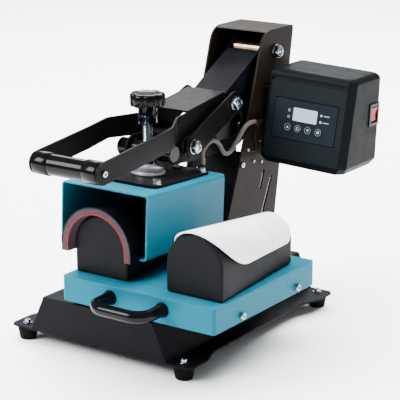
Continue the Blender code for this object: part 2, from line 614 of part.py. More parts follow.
# ---------------------------------------------------------------- head and heater
def head(group, level, at):
    """The pressing head: pieces are written from the stud's foot on top of the housing."""
    t = HOUSE_WALL
    section = folded([(-HOUSE_HALF + HOUSE_LIP, -HOUSE_H), (-HOUSE_HALF, -HOUSE_H),
                      (-HOUSE_HALF, 0), (HOUSE_HALF, 0), (HOUSE_HALF, -HOUSE_H),
                      (HOUSE_HALF - HOUSE_LIP, -HOUSE_H)], t, 5.0)
    housing = piece("head_housing", prism(section, "y", HOUSE_Y0, HOUSE_Y1), "teal_steel", group)
    low = -HOUSE_H + HOUSE_BACK_RISE
    inside = HOUSE_HALF - t / 2
    combine(housing, box((-inside, HOUSE_Y1 - t, low), (inside, HOUSE_Y1 - GAP / 2, -t / 2)),
            group, operation="UNION")
    notch = [[(a, y, b) for a, b in form_section(0.0, y, HOUSE_NOTCH, DECK_Z)]
             for y in (0.0, 30.0)]
    combine(housing, skin(notch), level, at)
    plate_t = 4.0
    plan = rounded([(-58, -62, 12), (58, -62, 12), (58, 74, 12), (-58, 74, 12)])
    plate = piece("head_plate", prism(plan, "z", GAP, GAP + plate_t), "black_steel", group)
    holes = bmesh.new()
    for x, y in SCREW_XY:
        cylinder("z", (x, y), 3.0 + RUN, -10, 10, 12, holes)
    combine(plate, holes.copy(), group)
    combine(housing, holes, group)
    top = 2 * GAP + plate_t
    for i, (x, y) in enumerate(SCREW_XY, 1):
        screw = [(3.0, -5.0), (3.0, top), (5.8, top), (5.8, top + 5.2), (5.2, top + 6.0)]
        piece(f"head_screw_{i}", turned(screw, "z", (x, y), 16), "bright_steel", group)
    boss = [(BOSS_R + 3, top), (BOSS_R + 3, top + 4), (BOSS_R, top + 4), (BOSS_R, BOSS_TOP - 1),
            (BOSS_R - 1, BOSS_TOP)]
    body = piece("head_boss", turned(boss, "z", (0, 0), 32), "aluminium", group)
    combine(body, cylinder("z", (0, 0), STUD_R + 1.5, top + 3, 40), group)
    for side, x in (("left", -14.0), ("right", 14.0)):
        pin = [(7.5, top), (7.5, top + 3.0), (3.4, top + 3.0), (3.4, 21.0), (2.6, 22.0)]
        piece(f"guide_pin_{side}", turned(pin, "z", (x, 51.0), 16), "bright_steel", group)

    def layer(inner, outer, steps=20):
        rings = []
        for y in (HEATER_Y0, HEATER_Y1):
            grown = form_section(0.0, y, outer, HEATER_Z0, steps)
            shrunk = form_section(0.0, y, inner, HEATER_Z0, steps)
            rings.append([(a, y, b) for a, b in grown + shrunk[::-1]])
        return skin(rings)

    piece("heater_face", layer(*FACE), "grey_foam", level, at)
    piece("heater_liner", layer(*LINER), "red_silicone", level, at)
    piece("heater_mat", layer(*MAT), "grey_foam", level, at)
    shell = piece("heater_shell", layer(*SHELL), "black_gloss", level, at)
    spine = [(y, form_top(y) + SHELL[0] + 0.6) for y in (-60.0, -20.0)]
    spine += [(-20.0, 229.0), (-60.0, 231.0)]
    combine(shell, prism(spine, "x", -12, 12), level, at, "UNION")


def heater_cable(press):
    """The braided lead from its clip on the column, under the lever plate, to the head."""
    route = [(50.0, 142, 281), (50.3, 128, 284), (50.5, 113, 284), (50.0, 101, 279),
             (47.0, 94, 268), (42.0, 89, 256), (38.0, 83, 246), (36.2, 74, 244),
             (36.0, 66, 250), (36.0, 58, 260), (36.0, 48, 268), (36.2, 36, 270.5),
             (37.5, 25, 267), (40.5, 14, 259), (43.5, 6, 250.5), (45.0, 1, 243.5)]
    curve = bpy.data.curves.new("heater_cable", "CURVE")
    curve.dimensions = "3D"
    curve.bevel_depth = 3.2 * MM
    curve.bevel_resolution = 2
    curve.use_fill_caps = True
    spline = curve.splines.new("POLY")
    points = smooth_route(route, 2)
    spline.points.add(len(points) - 1)
    for target, p in zip(spline.points, points):
        target.co = (*(Vector(p) * MM), 1.0)
    curve.materials.append(material("grey_braid"))
    cable = bpy.data.objects.new("heater_cable", curve)
    bpy.context.scene.collection.objects.link(cable)
    cable.parent = press

    clip = [(127.0, 277.5, 2), (143.5, 273.6, 2), (146.0, 284.6, 2), (129.5, 288.5, 2)]
    body = piece("cable_clip", prism(rounded(clip, 3), "x", COL_HALF + GAP, 55.0), "copper", press)
    lead = skin([[(x, y, z) for x, z in arc((50.2, middle), 3.9, 0, 330, 11)]
                 for y, middle in ((120.0, 285.6), (128.0, 284.0), (141.5, 281.1), (155.0, 278.3))])
    combine(body, lead, press)


def smooth_route(points, cuts):
    """A Catmull-Rom curve through points, with cuts steps from each to the next."""
    result = []
    ends = [points[0]] + points + [points[-1]]
    for a, b, c, d in zip(ends, ends[1:], ends[2:], ends[3:]):
        for k in range(cuts):
            t = k / cuts
            result.append([0.5 * (2 * q + (r - p) * t + (2 * p - 5 * q + 4 * r - s) * t * t
                                  + (3 * q - p - 3 * r + s) * t ** 3)
                           for p, q, r, s in zip(a, b, c, d)])
    return result + [points[-1]]


# ---------------------------------------------------------------- control box
def case_ring(z, inset):
    """The case's plan at height z: its front wall leans, and its front right edge is cut off."""
    x0, x1, y1 = inset, BOX_W - inset, BOX_D - inset
    y0 = z * math.tan(math.radians(BOX_LEAN)) + inset
    cut_x, cut_y = CASE_CHAMFER
    plan = rounded([(x0, y0, 3), (x1 - cut_x, y0, 3), (x1, y0 + cut_y, 3), (x1, y1, 9), (x0, y1, 5)])
    return [(x, y, z) for x, y in plan]


def control_box(press):
    corner = empty("box_corner", BOX_AT, press, roll=BOX_ROLL)
    face = empty("panel_face", (0, 0, 0), corner, -BOX_LEAN)
    w, d = BOX_W, BOX_D
    case = piece("box_case", skin([case_ring(*ring) for ring in CASE_RINGS]), "black_steel", corner)
    combine(case, box(*CAVITY), corner)
    x0, z0, x1, z1 = MOUTH
    mouth = rounded([(x0, z0, 4), (x1, z0, 4), (x1, z1, 4), (x0, z1, 4)])
    combine(case, prism(mouth, "y", -20, CAVITY[0][1] + 4), face)
    y, z = ROCKER_AT
    half_y, half_z = (s / 2 for s in ROCKER_SIZE)
    combine(case, box((w - 8, y - half_y, z - half_z), (w + 8, y + half_y, z + half_z)), corner)
    in_x0, in_z0, in_x1, in_z1 = INLET
    combine(case, box((in_x0, d - 10, in_z0), (in_x1, d + 10, in_z1)), corner)

    low, side, foot, top = x0 + GAP, x1 - GAP, z0 + GAP, z1 - GAP
    front = rounded([(low, foot, 4), (side, foot, 4), (side, top, 4), (low, top, 4)])
    bezel = piece("box_bezel", prism(front, "y", *BEZEL_Y), "dark_panel", face)
    step_z, step_y = BEZEL_STEP
    combine(bezel, box((-20, -20, step_z), (w + 20, step_y, step_z + 20)), face)
    x0, z0, x1, z1 = WINDOW
    recess = rounded([(x0, z0, 3), (x1, z0, 3), (x1, z1, 3), (x0, z1, 3)])
    combine(bezel, prism(recess, "y", -10, GLASS_Y[1] + GAP), face)
    inset = rounded([(x0 + GAP, z0 + GAP, 3), (x1 - GAP, z0 + GAP, 3), (x1 - GAP, z1 - GAP, 3),
                     (x0 + GAP, z1 - GAP, 3)])
    window = piece("display_window", prism(inset, "y", *GLASS_Y), "clear_window", face)
    holes = bmesh.new()
    for i in range(4):
        cylinder("y", (BUTTON_X0 + BUTTON_STEP * i, BUTTON_Z), BUTTON_R + GAP, -10, 10, 16, holes)
    combine(window, holes.copy(), face)
    combine(bezel, holes, face)
    crown, edge, back = BUTTON_Y
    for i in range(4):
        at = (BUTTON_X0 + BUTTON_STEP * i, 0.0, BUTTON_Z)
        profile = [(BUTTON_R - 0.8, crown), (BUTTON_R, edge), (BUTTON_R, back)]
        piece(f"button_{i + 1}", turned(profile, "y", (at[0], at[2]), 16), "dark_panel",
              empty(f"button_axis_{i + 1}", at, face), at)
    piece("circuit_board", box(*BOARD), "board_green", face)

    def about_switch(x_low, x_high, grow):
        return box((x_low, y - half_y - grow, z - half_z - grow),
                   (x_high, y + half_y + grow, z + half_z + grow))

    collar = piece("switch_bezel", about_switch(w + GAP, w + 1.8, 2.5), "black_gloss", corner)
    combine(collar, about_switch(w - 12, w + 1.0, -GAP), corner, operation="UNION")
    combine(collar, about_switch(w - 9, w + 9, -2.0), corner)
    pivot = (w - 2.0, y, z)
    rocker_axis = empty("rocker_axis", pivot, corner)
    reach, tilt = half_z - 3.2, 1.6
    side = [(w - 3.2, z - reach), (w + 0.2, z - reach), (w - 0.4, z),
            (w + 0.2 + tilt, z + reach), (w - 3.2, z + reach)]
    rocker = prism(side, "y", y - half_y + 2.6, y + half_y - 2.6)
    piece("power_rocker", rocker, "red_switch", rocker_axis, pivot)

    inlet = box((in_x0 + GAP, d - 14, in_z0 + GAP), (in_x1 - GAP, d - GAP, in_z1 - GAP))
    socket = piece("power_inlet", inlet, "black_gloss", corner)
    combine(socket, box((in_x0 + 3, d - 11, in_z0 + 3), (in_x1 - 3, d + 10, in_z1 - 3)), corner)

    roll = math.radians(BOX_ROLL)

    def beside_column(height):
        """The column's side, as x in the tilted box's frame."""
        return (COL_HALF + GAP - BOX_AT[0] - height * math.sin(roll)) / math.cos(roll)

    y0, z0, y1, z1 = BRACKET
    wedge = [(beside_column(z0), z0), (-GAP, z0), (-GAP, z1), (beside_column(z1), z1)]
    piece("box_bracket", prism(wedge, "y", y0, y1), "black_steel", corner)


# ---------------------------------------------------------------- assembly
def build():
    clear_scene()
    press = empty("press", (-CENTRE_X, -CENTRE_Y, 0.0))
    base_frame(press)
    feet(press)
    tray(press)
    tray_handle(press)
    forms(press)
    blank_at = (FORM_PITCH, FORM_Y0, FORM_TOP0)
    blank(empty("blank_lift", blank_at, press), blank_at)
    column(press)

    link_at, arm_at = (0.0, *PIVOT_A), (0.0, *PIVOT_D)
    upper_link(empty("link_axis", link_at, press), link_at)
    arm_axis = empty("arm_axis", arm_at, press)
    pressing_arm(arm_axis, arm_at)
    lever_at = (0.0, *PIVOT_C)
    lever_from_arm = Vector(lever_at) - Vector(arm_at)
    lever(empty("lever_axis", lever_from_arm, arm_axis), lever_at)

    head_at = (0.0, STUD_Y, HEAD_TOP)
    head_from_arm = Vector(head_at) - Vector(arm_at)
    level = empty("head_slide", head_from_arm, arm_axis)
    pitched = empty("head_pitch", (0, 0, 0), level, -HEAD_PITCH)
    head(pitched, level, head_at)
    pressure_screw(empty("knob_axis", (0, 0, 0), level), head_at)

    heater_cable(press)
    control_box(press)


build()
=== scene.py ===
"""The looks of the shin-guard heat press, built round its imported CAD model.

Lengths below are in millimetres in the press's own frame: x from the press's middle plane,
y from the middle of the feet, z from the floor. The matrix PRESS turns them into the model's
frame in metres. HEAD, BOX and FACE are the frames of the pressing head, the control box and
the box's leaning front.
"""
import json
import math

import bmesh
import bpy
from mathutils import Matrix, Vector


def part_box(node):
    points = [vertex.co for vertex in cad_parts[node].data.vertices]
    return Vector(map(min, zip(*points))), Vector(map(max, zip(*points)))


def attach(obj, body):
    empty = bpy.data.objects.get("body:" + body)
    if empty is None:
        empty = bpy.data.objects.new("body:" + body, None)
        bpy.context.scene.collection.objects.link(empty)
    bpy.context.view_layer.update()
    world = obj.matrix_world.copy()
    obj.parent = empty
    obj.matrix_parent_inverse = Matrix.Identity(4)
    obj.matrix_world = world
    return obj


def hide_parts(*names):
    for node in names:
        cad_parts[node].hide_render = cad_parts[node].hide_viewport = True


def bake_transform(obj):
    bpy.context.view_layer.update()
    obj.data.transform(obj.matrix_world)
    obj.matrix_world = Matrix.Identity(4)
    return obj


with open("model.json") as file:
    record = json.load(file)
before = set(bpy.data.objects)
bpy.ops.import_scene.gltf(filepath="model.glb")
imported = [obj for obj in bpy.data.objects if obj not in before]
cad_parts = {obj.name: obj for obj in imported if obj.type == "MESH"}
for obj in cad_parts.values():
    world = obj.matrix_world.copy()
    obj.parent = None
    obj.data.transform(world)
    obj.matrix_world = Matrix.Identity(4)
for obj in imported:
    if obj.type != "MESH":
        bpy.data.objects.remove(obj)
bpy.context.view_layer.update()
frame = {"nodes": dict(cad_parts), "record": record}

MM = 0.001
NODES = frame["nodes"]
SLOT_OF = {part["node"]: part["material_slot"] for part in frame["record"]["subparts"]}
BODY_OF = {node: body for body, nodes in frame["record"]["behaviour"]["bodies"].items()
           for node in nodes}

STUD_Y = -69.0                             # the pressure screw stands on x 0, y STUD_Y
LEVER_PIVOT = (-19.0, 275.0)               # y and z of the pivots and of the grip
LINK_PIVOT = (86.5, 318.5)
TOP_PIVOT = (192.0, 379.0)
GRIP_YZ = (-241.5, 285.0)
FORM_PITCH = 153.0                         # from the left form to the right one
FORM_Y0, FORM_LENGTH = -178.0, 199.0
FORM_R, FORM_R_LOSS = 45.0, 15.0           # at the front, and what is lost to the back
FORM_TOP, FORM_TOP_FALL = 204.0, 20.0
GUARD_Y = (-181.0, 13.0)
GUARD_FACES = (2.2, 4.4)                   # its inside and outside, measured out from the form
GUARD_NOSE, GUARD_CORNER = 0.343, 0.92     # shares of its length
GUARD_TIP, GUARD_SWELL = 4.0, 60.5         # half width at the tip, and what the nose adds
GUARD_TAPER, GUARD_CORNER_CUT = 0.365, 22.0
HANDLE_Z, HANDLE_OUT, HANDLE_BEND = 101.0, -247.0, 22.0
HANDLE_X = (33.0, 119.0)
HANDLE_ENDS_Y = (-202.3, -210.0, -217.0)
HANDLE_R, HANDLE_FLARE = 8.4, 2.4
FOOT_X, FOOT_Y, FOOT_TOP = 136, 176, 23.3
ROD_Z = 91.0
STUD_LOW, STUD_HIGH, THREAD_PITCH = 246.0, 337.0, 2.0
KNOB_R, KNOB_LOBES, KNOB_DENT = 25.0, 8, 3.0
HEAD_TOP, HEAD_PITCH = 236.1, math.radians(2.9)
BOX_AT = (52.4, 140.4, 230.7)              # front left corner, at the foot of its face
BOX_WIDTH, BOX_DEPTH = 141.4, 105.0
BOX_ROLL, BOX_LEAN = math.radians(2.3), math.radians(8.9)
CASE_TOP, CASE_TOP_R = 122.0, 9.0          # where the top's rounding starts, and its radius
CHAMFER = (8.0, 10.4)                      # the cut off front right edge, along x and y
MOUTH = (5.0, 2.5, 132.2, 121.5)
WINDOW = (14.3, 31.7, 121.6, 92.0)
BUTTON_X0, BUTTON_STEP, BUTTON_Z = 41.7, 17.2, 50.0

nut_low, nut_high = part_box("lock_nut")
ORIGIN = Vector(((nut_low.x + nut_high.x) / 2, (nut_low.y + nut_high.y) / 2 - STUD_Y * MM, 0.0))
PRESS = Matrix.Translation(ORIGIN) @ Matrix.Scale(MM, 4)
HEAD = (PRESS @ Matrix.Translation((0, STUD_Y, HEAD_TOP))
        @ Matrix.Rotation(-HEAD_PITCH, 4, "X"))
BOX = PRESS @ Matrix.Translation(BOX_AT) @ Matrix.Rotation(BOX_ROLL, 4, "Y")
FACE = BOX @ Matrix.Rotation(-BOX_LEAN, 4, "X")

EYE, TARGET = (1253.77, -1775.61, 798.21), (41.16, 0.0, 191.94)
LENS, SENSOR, CAMERA_ROLL = 140.73, 36.0, math.radians(0.12)
WORLD_STRENGTH = 0.38
LIT_SPOT = (30, 0, 170)
LIGHTS = {                                 # place, side of the square and watts
    "key": ((-1100, -1700, 1500), 1100, 125.0),
    "overhead": ((-500, 900, 3000), 5000, 1200.0),
    "right": ((2100, -500, 800), 900, 2.0),
    "rear": ((-1500, 2150, 2300), 1700, 90.0),
}
FLOOR_HALF = 12000.0
FLOOR_SWEEP = [(-9000.0, 0.0), (5000.0, 0.0), (6400.0, 250.0), (7400.0, 1100.0),
               (8000.0, 2600.0), (8200.0, 9000.0)]      # y and z


# ---------------------------------------------------------------- materials
class Look:
    """A Principled material whose colour, roughness and bump come from procedural nodes."""

    def __init__(self, name, colour, rough, metal=0.0, **uniform):
        self.mat = bpy.data.materials.new(name)
        self.mat.use_nodes = True
        self.mat.diffuse_color = (*colour, 1.0)
        self.tree = self.mat.node_tree
        self.shader = self.tree.nodes["Principled BSDF"]
        self.shader.inputs["Metallic"].default_value = metal
        for socket, value in uniform.items():
            self.shader.inputs[socket.replace("_", " ")].default_value = value
        coord = self.tree.nodes.new("ShaderNodeTexCoord")
        self.object_co, self.uv = coord.outputs["Object"], coord.outputs["UV"]
        rgb = self.tree.nodes.new("ShaderNodeRGB")
        rgb.outputs[0].default_value = (*colour, 1.0)
        self.colour = rgb.outputs[0]
        self.rough = self.value(rough)
        self.normal = None

    def node(self, kind, **settings):
        made = self.tree.nodes.new(kind)
        for key, value in settings.items():
            setattr(made, key, value)
        return made

    def join(self, source, socket):
        if isinstance(source, (int, float)):
            socket.default_value = source
        elif isinstance(source, tuple):
            socket.default_value = (*source, 1.0) if len(socket.default_value) == 4 else source
        else:
            self.tree.links.new(source, socket)

    def value(self, number):
        made = self.node("ShaderNodeValue")
        made.outputs[0].default_value = number
        return made.outputs[0]

    def math(self, operation, a, b=0.0):
        made = self.node("ShaderNodeMath", operation=operation)
        self.join(a, made.inputs[0])
        self.join(b, made.inputs[1])
        return made.outputs[0]

    def stretched(self, stretch):
        made = self.node("ShaderNodeMapping")
        self.join(self.object_co, made.inputs["Vector"])
        made.inputs["Scale"].default_value = stretch
        return made.outputs[0]

    def noise(self, scale, detail=3.0, rough=0.55, stretch=(1, 1, 1)):
        made = self.node("ShaderNodeTexNoise")
        self.join(self.stretched(stretch), made.inputs["Vector"])
        made.inputs["Scale"].default_value = scale
        made.inputs["Detail"].default_value = detail
        made.inputs["Roughness"].default_value = rough
        return made.outputs["Fac"]

    def cells(self, scale):
        made = self.node("ShaderNodeTexVoronoi")
        self.join(self.object_co, made.inputs["Vector"])
        made.inputs["Scale"].default_value = scale
        return made.outputs["Distance"]

    def between(self, factor, low, high, start=0.0, end=1.0):
        """factor, clamped between low and high and spread over start to end."""
        made = self.node("ShaderNodeMapRange")
        self.join(factor, made.inputs["Value"])
        for key, number in zip(("From Min", "From Max", "To Min", "To Max"),
                               (low, high, start, end)):
            made.inputs[key].default_value = number
        return made.outputs["Result"]

    def tint(self, factor, colour):
        """Mix colour in where factor is high."""
        made = self.node("ShaderNodeMix", data_type="RGBA")
        self.join(factor, made.inputs["Factor"])
        self.join(self.colour, made.inputs["A"])
        self.join(colour, made.inputs["B"])
        self.colour = made.outputs["Result"]
        return self

    def roughen(self, factor, amount):
        self.rough = self.math("ADD", self.rough, self.math("MULTIPLY", factor, amount))
        return self

    def bump(self, height, distance_mm):
        made = self.node("ShaderNodeBump")
        made.inputs["Distance"].default_value = distance_mm * MM
        self.join(height, made.inputs["Height"])
        if self.normal:
            self.join(self.normal, made.inputs["Normal"])
        self.normal = made.outputs["Normal"]
        return self

    def edges(self, colour, radius_mm):
        """Paler edges, partly worn finish and partly a painted highlight, found where the rounded
        normal leaves the true one.
        """
        bevel = self.node("ShaderNodeBevel", samples=4)
        bevel.inputs["Radius"].default_value = radius_mm * MM
        geometry = self.node("ShaderNodeNewGeometry")
        dot = self.node("ShaderNodeVectorMath", operation="DOT_PRODUCT")
        self.join(bevel.outputs[0], dot.inputs[0])
        self.join(geometry.outputs["Normal"], dot.inputs[1])
        away = self.math("SUBTRACT", 1.0, dot.outputs["Value"])
        patchy = self.between(self.noise(160.0, 4.0), 0.35, 0.7, 0.25, 1.0)
        # tint the edges towards colour: a painted highlight along them, partly also wear
        self.tint(self.math("MULTIPLY", self.between(away, 0.02, 0.10), patchy), colour)
        return self

    def painted_top_light(self, colour, amount):
        """Painted top light: a paler, rougher tint on faces that look up."""
        geometry = self.node("ShaderNodeNewGeometry")
        split = self.node("ShaderNodeSeparateXYZ")
        self.join(geometry.outputs["Normal"], split.inputs[0])
        up = self.between(split.outputs["Z"], 0.6, 1.0)
        patchy = self.between(self.noise(45.0, 5.0), 0.35, 0.75)
        top_light_mask = self.math("MULTIPLY", self.math("MULTIPLY", up, patchy), amount)
        # paint the up-facing faces paler, standing in for the light from above
        self.tint(top_light_mask, colour)
        self.roughen(top_light_mask, 0.5)
        return self

    def done(self):
        self.join(self.colour, self.shader.inputs["Base Color"])
        self.join(self.rough, self.shader.inputs["Roughness"])
        if self.normal:
            self.join(self.normal, self.shader.inputs["Normal"])
        return self.mat


def powder_coat(name, colour, rough, grain_mm=0.9, depth_mm=0.10, fleck=(0.016, 0.016, 0.018)):
    """Textured powder coat: fine pebbles, a few lighter flecks, paler edges that are partly rubbed
    paint and partly a painted highlight, and painted top light.
    """
    look = Look(name, colour, rough, Specular_IOR_Level=0.03)
    pebbles = look.noise(1000.0 / grain_mm, 2.0, 0.6)
    look.tint(look.between(look.noise(1500.0 / grain_mm, 1.0), 0.62, 0.76, 0.0, 0.8), fleck)
    look.tint(look.between(look.noise(14.0, 3.0), 0.3, 0.8, 0.0, 0.25),
              tuple(c * 2.0 for c in colour))
    look.roughen(look.between(look.noise(60.0, 4.0), 0.3, 0.7, -0.5, 0.5), 0.10)
    look.bump(pebbles, depth_mm)
    # paler edges: partly rubbed paint, partly a painted highlight
    look.edges((0.045, 0.046, 0.050), 0.5)
    # paler tops: painted top light
    return look.painted_top_light((0.06, 0.058, 0.056), 0.05)


def satin_paint(name, colour, rough, edge):
    """Smooth satin paint with a slight orange peel, a painted highlight on its edges and painted
    top light.
    """
    look = Look(name, colour, rough, Specular_IOR_Level=0.05)
    look.tint(look.between(look.noise(9.0, 2.0), 0.3, 0.75, 0.0, 0.35),
              tuple(c * 0.78 for c in colour))
    look.tint(look.between(look.noise(420.0, 2.0), 0.62, 0.78, 0.0, 0.25),
              tuple(min(1.0, c * 1.5 + 0.01) for c in colour))
    look.roughen(look.between(look.noise(35.0, 5.0), 0.3, 0.7, -0.5, 0.5), 0.12)
    look.bump(look.noise(260.0, 1.0), 0.030)
    look.bump(look.noise(1500.0, 1.0), 0.012)
    # brighter edges: a painted highlight
    look.edges(edge, 0.8)
    # paler, greyer tops: painted top light
    return look.painted_top_light((0.30, 0.34, 0.35), 0.04)


def gloss(name, colour, rough, scratch=0.02):
    """Moulded or enamelled gloss with faint swirls and hairline scuffs."""
    look = Look(name, colour, rough, Specular_IOR_Level=0.10)
    look.tint(look.between(look.noise(18.0, 3.0), 0.35, 0.8, 0.0, 0.5),
              tuple(c * 1.6 + 0.0006 for c in colour))
    look.roughen(look.between(look.noise(40.0, 6.0), 0.35, 0.75), 0.10)
    look.bump(look.noise(120.0, 2.0), 0.02)
    look.bump(look.noise(900.0, 2.0, 0.6, (0.08, 1.0, 1.0)), scratch * 0.5)
    # paler edges: a painted highlight
    look.edges(tuple(c * 1.5 + 0.006 for c in colour), 0.5)
    return look


def metal(name, colour, rough, stretch, blotch, marks_mm=0.012, metallic=1.0):
    """Plated or machined metal: tool marks along stretch, and blotches of blotch."""
    look = Look(name, colour, rough, metallic)
    marks = look.noise(1400.0, 3.0, 0.65, stretch)
    look.tint(look.between(look.noise(75.0, 4.0), 0.35, 0.72, 0.0, 0.8), blotch)
    look.tint(look.between(marks, 0.55, 0.75, 0.0, 0.35), tuple(c * 0.55 for c in colour))
    look.roughen(look.between(look.noise(110.0, 5.0), 0.3, 0.75, -0.3, 0.7), 0.12)
    look.bump(marks, marks_mm * 0.35)
    return look


def soft(name, colour, rough, grain, depth_mm, spots):
    """Rubber, foam or felt: a matt ground, a fine grain and paler spots."""
    look = Look(name, colour, rough, Specular_IOR_Level=0.03)
    look.tint(look.between(look.noise(grain * 0.4, 3.0), 0.5, 0.8, 0.0, 0.6), spots)
    look.tint(look.between(look.noise(20.0, 4.0), 0.35, 0.75, 0.0, 0.35),
              tuple(c * 1.5 + 0.0008 for c in colour))
    look.roughen(look.between(look.noise(55.0, 3.0), 0.3, 0.7, -0.5, 0.5), 0.12)
    look.bump(look.noise(grain, 3.0, 0.6), depth_mm)
    return look


def braid(name):
    """A braided sleeve, woven from its UVs: two crossing sets of strands."""
    look = Look(name, (0.085, 0.074, 0.068), 0.62)
    split = look.node("ShaderNodeSeparateXYZ")
    look.join(look.uv, split.inputs[0])
    strands = []
    for sign in (1.0, -1.0):
        slant = look.math("ADD", look.math("MULTIPLY", split.outputs["X"], 2 * math.pi * 420.0),
                          look.math("MULTIPLY", split.outputs["Y"], sign * 2 * math.pi * 9.0))
        strands.append(look.math("SINE", slant))
    weave = look.math("MAXIMUM", *strands)
    look.tint(look.between(weave, 0.0, 0.7, 0.85, 0.0), (0.016, 0.013, 0.012))
    look.tint(look.between(look.noise(300.0, 3.0), 0.5, 0.8, 0.0, 0.5), (0.17, 0.155, 0.14))
    look.roughen(look.between(look.noise(90.0, 2.0), 0.3, 0.7), 0.15)
    return look.bump(weave, 0.22)


def board(name):
    """Solder mask with etched tracks and pads."""
    look = Look(name, (0.004, 0.045, 0.015), 0.4)
    bricks = look.node("ShaderNodeTexBrick")
    look.join(look.stretched((1, 1, 1)), bricks.inputs["Vector"])
    bricks.inputs["Scale"].default_value = 160.0
    bricks.inputs["Mortar Size"].default_value = 0.06
    look.tint(look.math("MULTIPLY", bricks.outputs["Fac"], 0.7), (0.015, 0.10, 0.04))
    look.tint(look.between(look.cells(120.0), 0.0, 0.12, 0.8, 0.0), (0.25, 0.22, 0.15))
    return look.bump(bricks.outputs["Fac"], 0.04)


def display(name):
    """A lit liquid-crystal panel with the ghosts of its unlit segments."""
    look = Look(name, (0.16, 0.18, 0.215), 0.25, Emission_Strength=0.75,
                Emission_Color=(0.62, 0.70, 0.88, 1.0))
    bars = look.noise(180.0, 1.0, 0.5, (1.0, 1.0, 0.35))
    look.tint(look.between(bars, 0.55, 0.70, 0.0, 0.25), (0.10, 0.12, 0.14))
    look.tint(look.between(look.noise(45.0, 2.0), 0.35, 0.7, 0.0, 0.3), (0.24, 0.26, 0.30))
    return look.bump(look.noise(900.0), 0.01)


TEAL = (0.0002, 0.098, 0.150)
LOOKS = {
    "black_steel": powder_coat("black_powder", (0.0024, 0.0021, 0.0025), 0.36),
    "frame_steel": powder_coat("coarse_black_powder", (0.0026, 0.0028, 0.0038), 0.34, 1.5, 0.26,
                               (0.040, 0.042, 0.050)),
    # the column's warm brown tint is a painted reflection of the surroundings
    "column_steel": powder_coat("column_powder_painted_reflection", (0.0066, 0.0045, 0.0034), 0.40, 0.8, 0.05),
    "black_gloss": gloss("black_enamel", (0.0014, 0.0015, 0.0018), 0.10),
    # (0.10, 0.42, 0.50) is the painted highlight along the teal edges
    "teal_steel": satin_paint("teal_paint", TEAL, 0.32, (0.10, 0.42, 0.50)),
    "rubber": soft("foot_rubber", (0.002, 0.002, 0.002), 0.62, 700.0, 0.06, (0.012, 0.012, 0.012)),
    # the .edges tint here is a painted highlight along the forms' edges
    "form_black": soft("form_silicone", (0.0050, 0.0054, 0.0064), 0.46, 900.0, 0.035,
                       (0.009, 0.0095, 0.011)).edges((0.018, 0.019, 0.022), 1.5),
    "bright_steel": metal("zinc_plate", (0.36, 0.40, 0.44), 0.20, (1, 1, 0.1), (0.16, 0.19, 0.24)),
    "dark_plate": metal("dark_plate", (0.035, 0.042, 0.055), 0.14, (1, 1, 0.1),
                        (0.020, 0.024, 0.032)),
    "aluminium": metal("turned_aluminium", (0.48, 0.47, 0.53), 0.34, (0.05, 0.05, 1),
                       (0.33, 0.32, 0.37), 0.008, 0.6),
    "copper": metal("worn_copper", (0.28, 0.155, 0.10), 0.28, (0.1, 1, 1), (0.26, 0.22, 0.20)),
    "red_silicone": soft("red_silicone", (0.34, 0.001, 0.016), 0.45, 500.0, 0.05,
                         (0.42, 0.006, 0.030)),
    "grey_foam": soft("grey_sponge", (0.040, 0.029, 0.034), 0.88, 650.0, 0.35,
                      (0.075, 0.058, 0.064)),
    "white_plastic": gloss("white_shell", (0.66, 0.66, 0.665), 0.22, 0.01),
    # the .edges tint here is a painted highlight along the panel's edges
    "dark_panel": soft("panel_plastic", (0.0058, 0.0080, 0.0092), 0.40, 600.0, 0.02,
                       (0.010, 0.013, 0.015)).edges((0.040, 0.050, 0.056), 0.6),
    "clear_window": gloss("smoked_window", (0.0075, 0.0105, 0.0135), 0.09, 0.006),
    "red_switch": gloss("red_rocker", (0.17, 0.0002, 0.006), 0.16, 0.01),
    "grey_braid": braid("braided_sleeve"),
    "board_green": board("circuit_board"),
    # the .edges tint here is a painted highlight along the case's edges
    "box_shell": soft("box_shell", (0.0026, 0.0036, 0.0042), 0.43, 1200.0, 0.020,
                      (0.005, 0.0065, 0.0075)).edges((0.018, 0.022, 0.025), 0.8),
    "display": display("lit_display"),
    "white_ink": soft("white_ink", (0.22, 0.27, 0.30), 0.5, 900.0, 0.01, (0.30, 0.34, 0.36)),
    "bare_edge": metal("bare_edge", (0.26, 0.26, 0.28), 0.3, (1, 1, 1), (0.14, 0.14, 0.14)),
}
LOOKS = {key: look.done() for key, look in LOOKS.items()}


# ---------------------------------------------------------------- building pieces
def link(name, mesh, look, body, nodes=(), place=PRESS):
    """Make mesh the visible object name, riding on body, and standing for the CAD nodes."""
    mesh.transform(place)
    obj = bpy.data.objects.new(name, mesh)
    bpy.context.scene.collection.objects.link(obj)
    mesh.materials.clear()
    mesh.materials.append(LOOKS[look])
    if nodes:
        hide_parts(*nodes)
    if body:
        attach(obj, body)
    return obj


def mesh_of(bm, name, sharp=35.0):
    """Turn bm into a smooth-shaded mesh whose edges are sharp past that many degrees."""
    bmesh.ops.recalc_face_normals(bm, faces=bm.faces)
    mesh = bpy.data.meshes.new(name)
    bm.to_mesh(mesh)
    bm.free()
    mesh.shade_smooth()
    mesh.set_sharp_from_angle(angle=math.radians(sharp))
    return mesh


def rounded_edges(obj, width_mm, segments=2, angle=30.0):
    """Round the edges of obj that turn by more than angle degrees."""
    mod = obj.modifiers.new("Edges", "BEVEL")
    mod.width = width_mm * MM
    mod.segments = segments
    mod.limit_method = "ANGLE"
    mod.angle_limit = math.radians(angle)
    obj.modifiers.new("Normals", "WEIGHTED_NORMAL")
    return obj


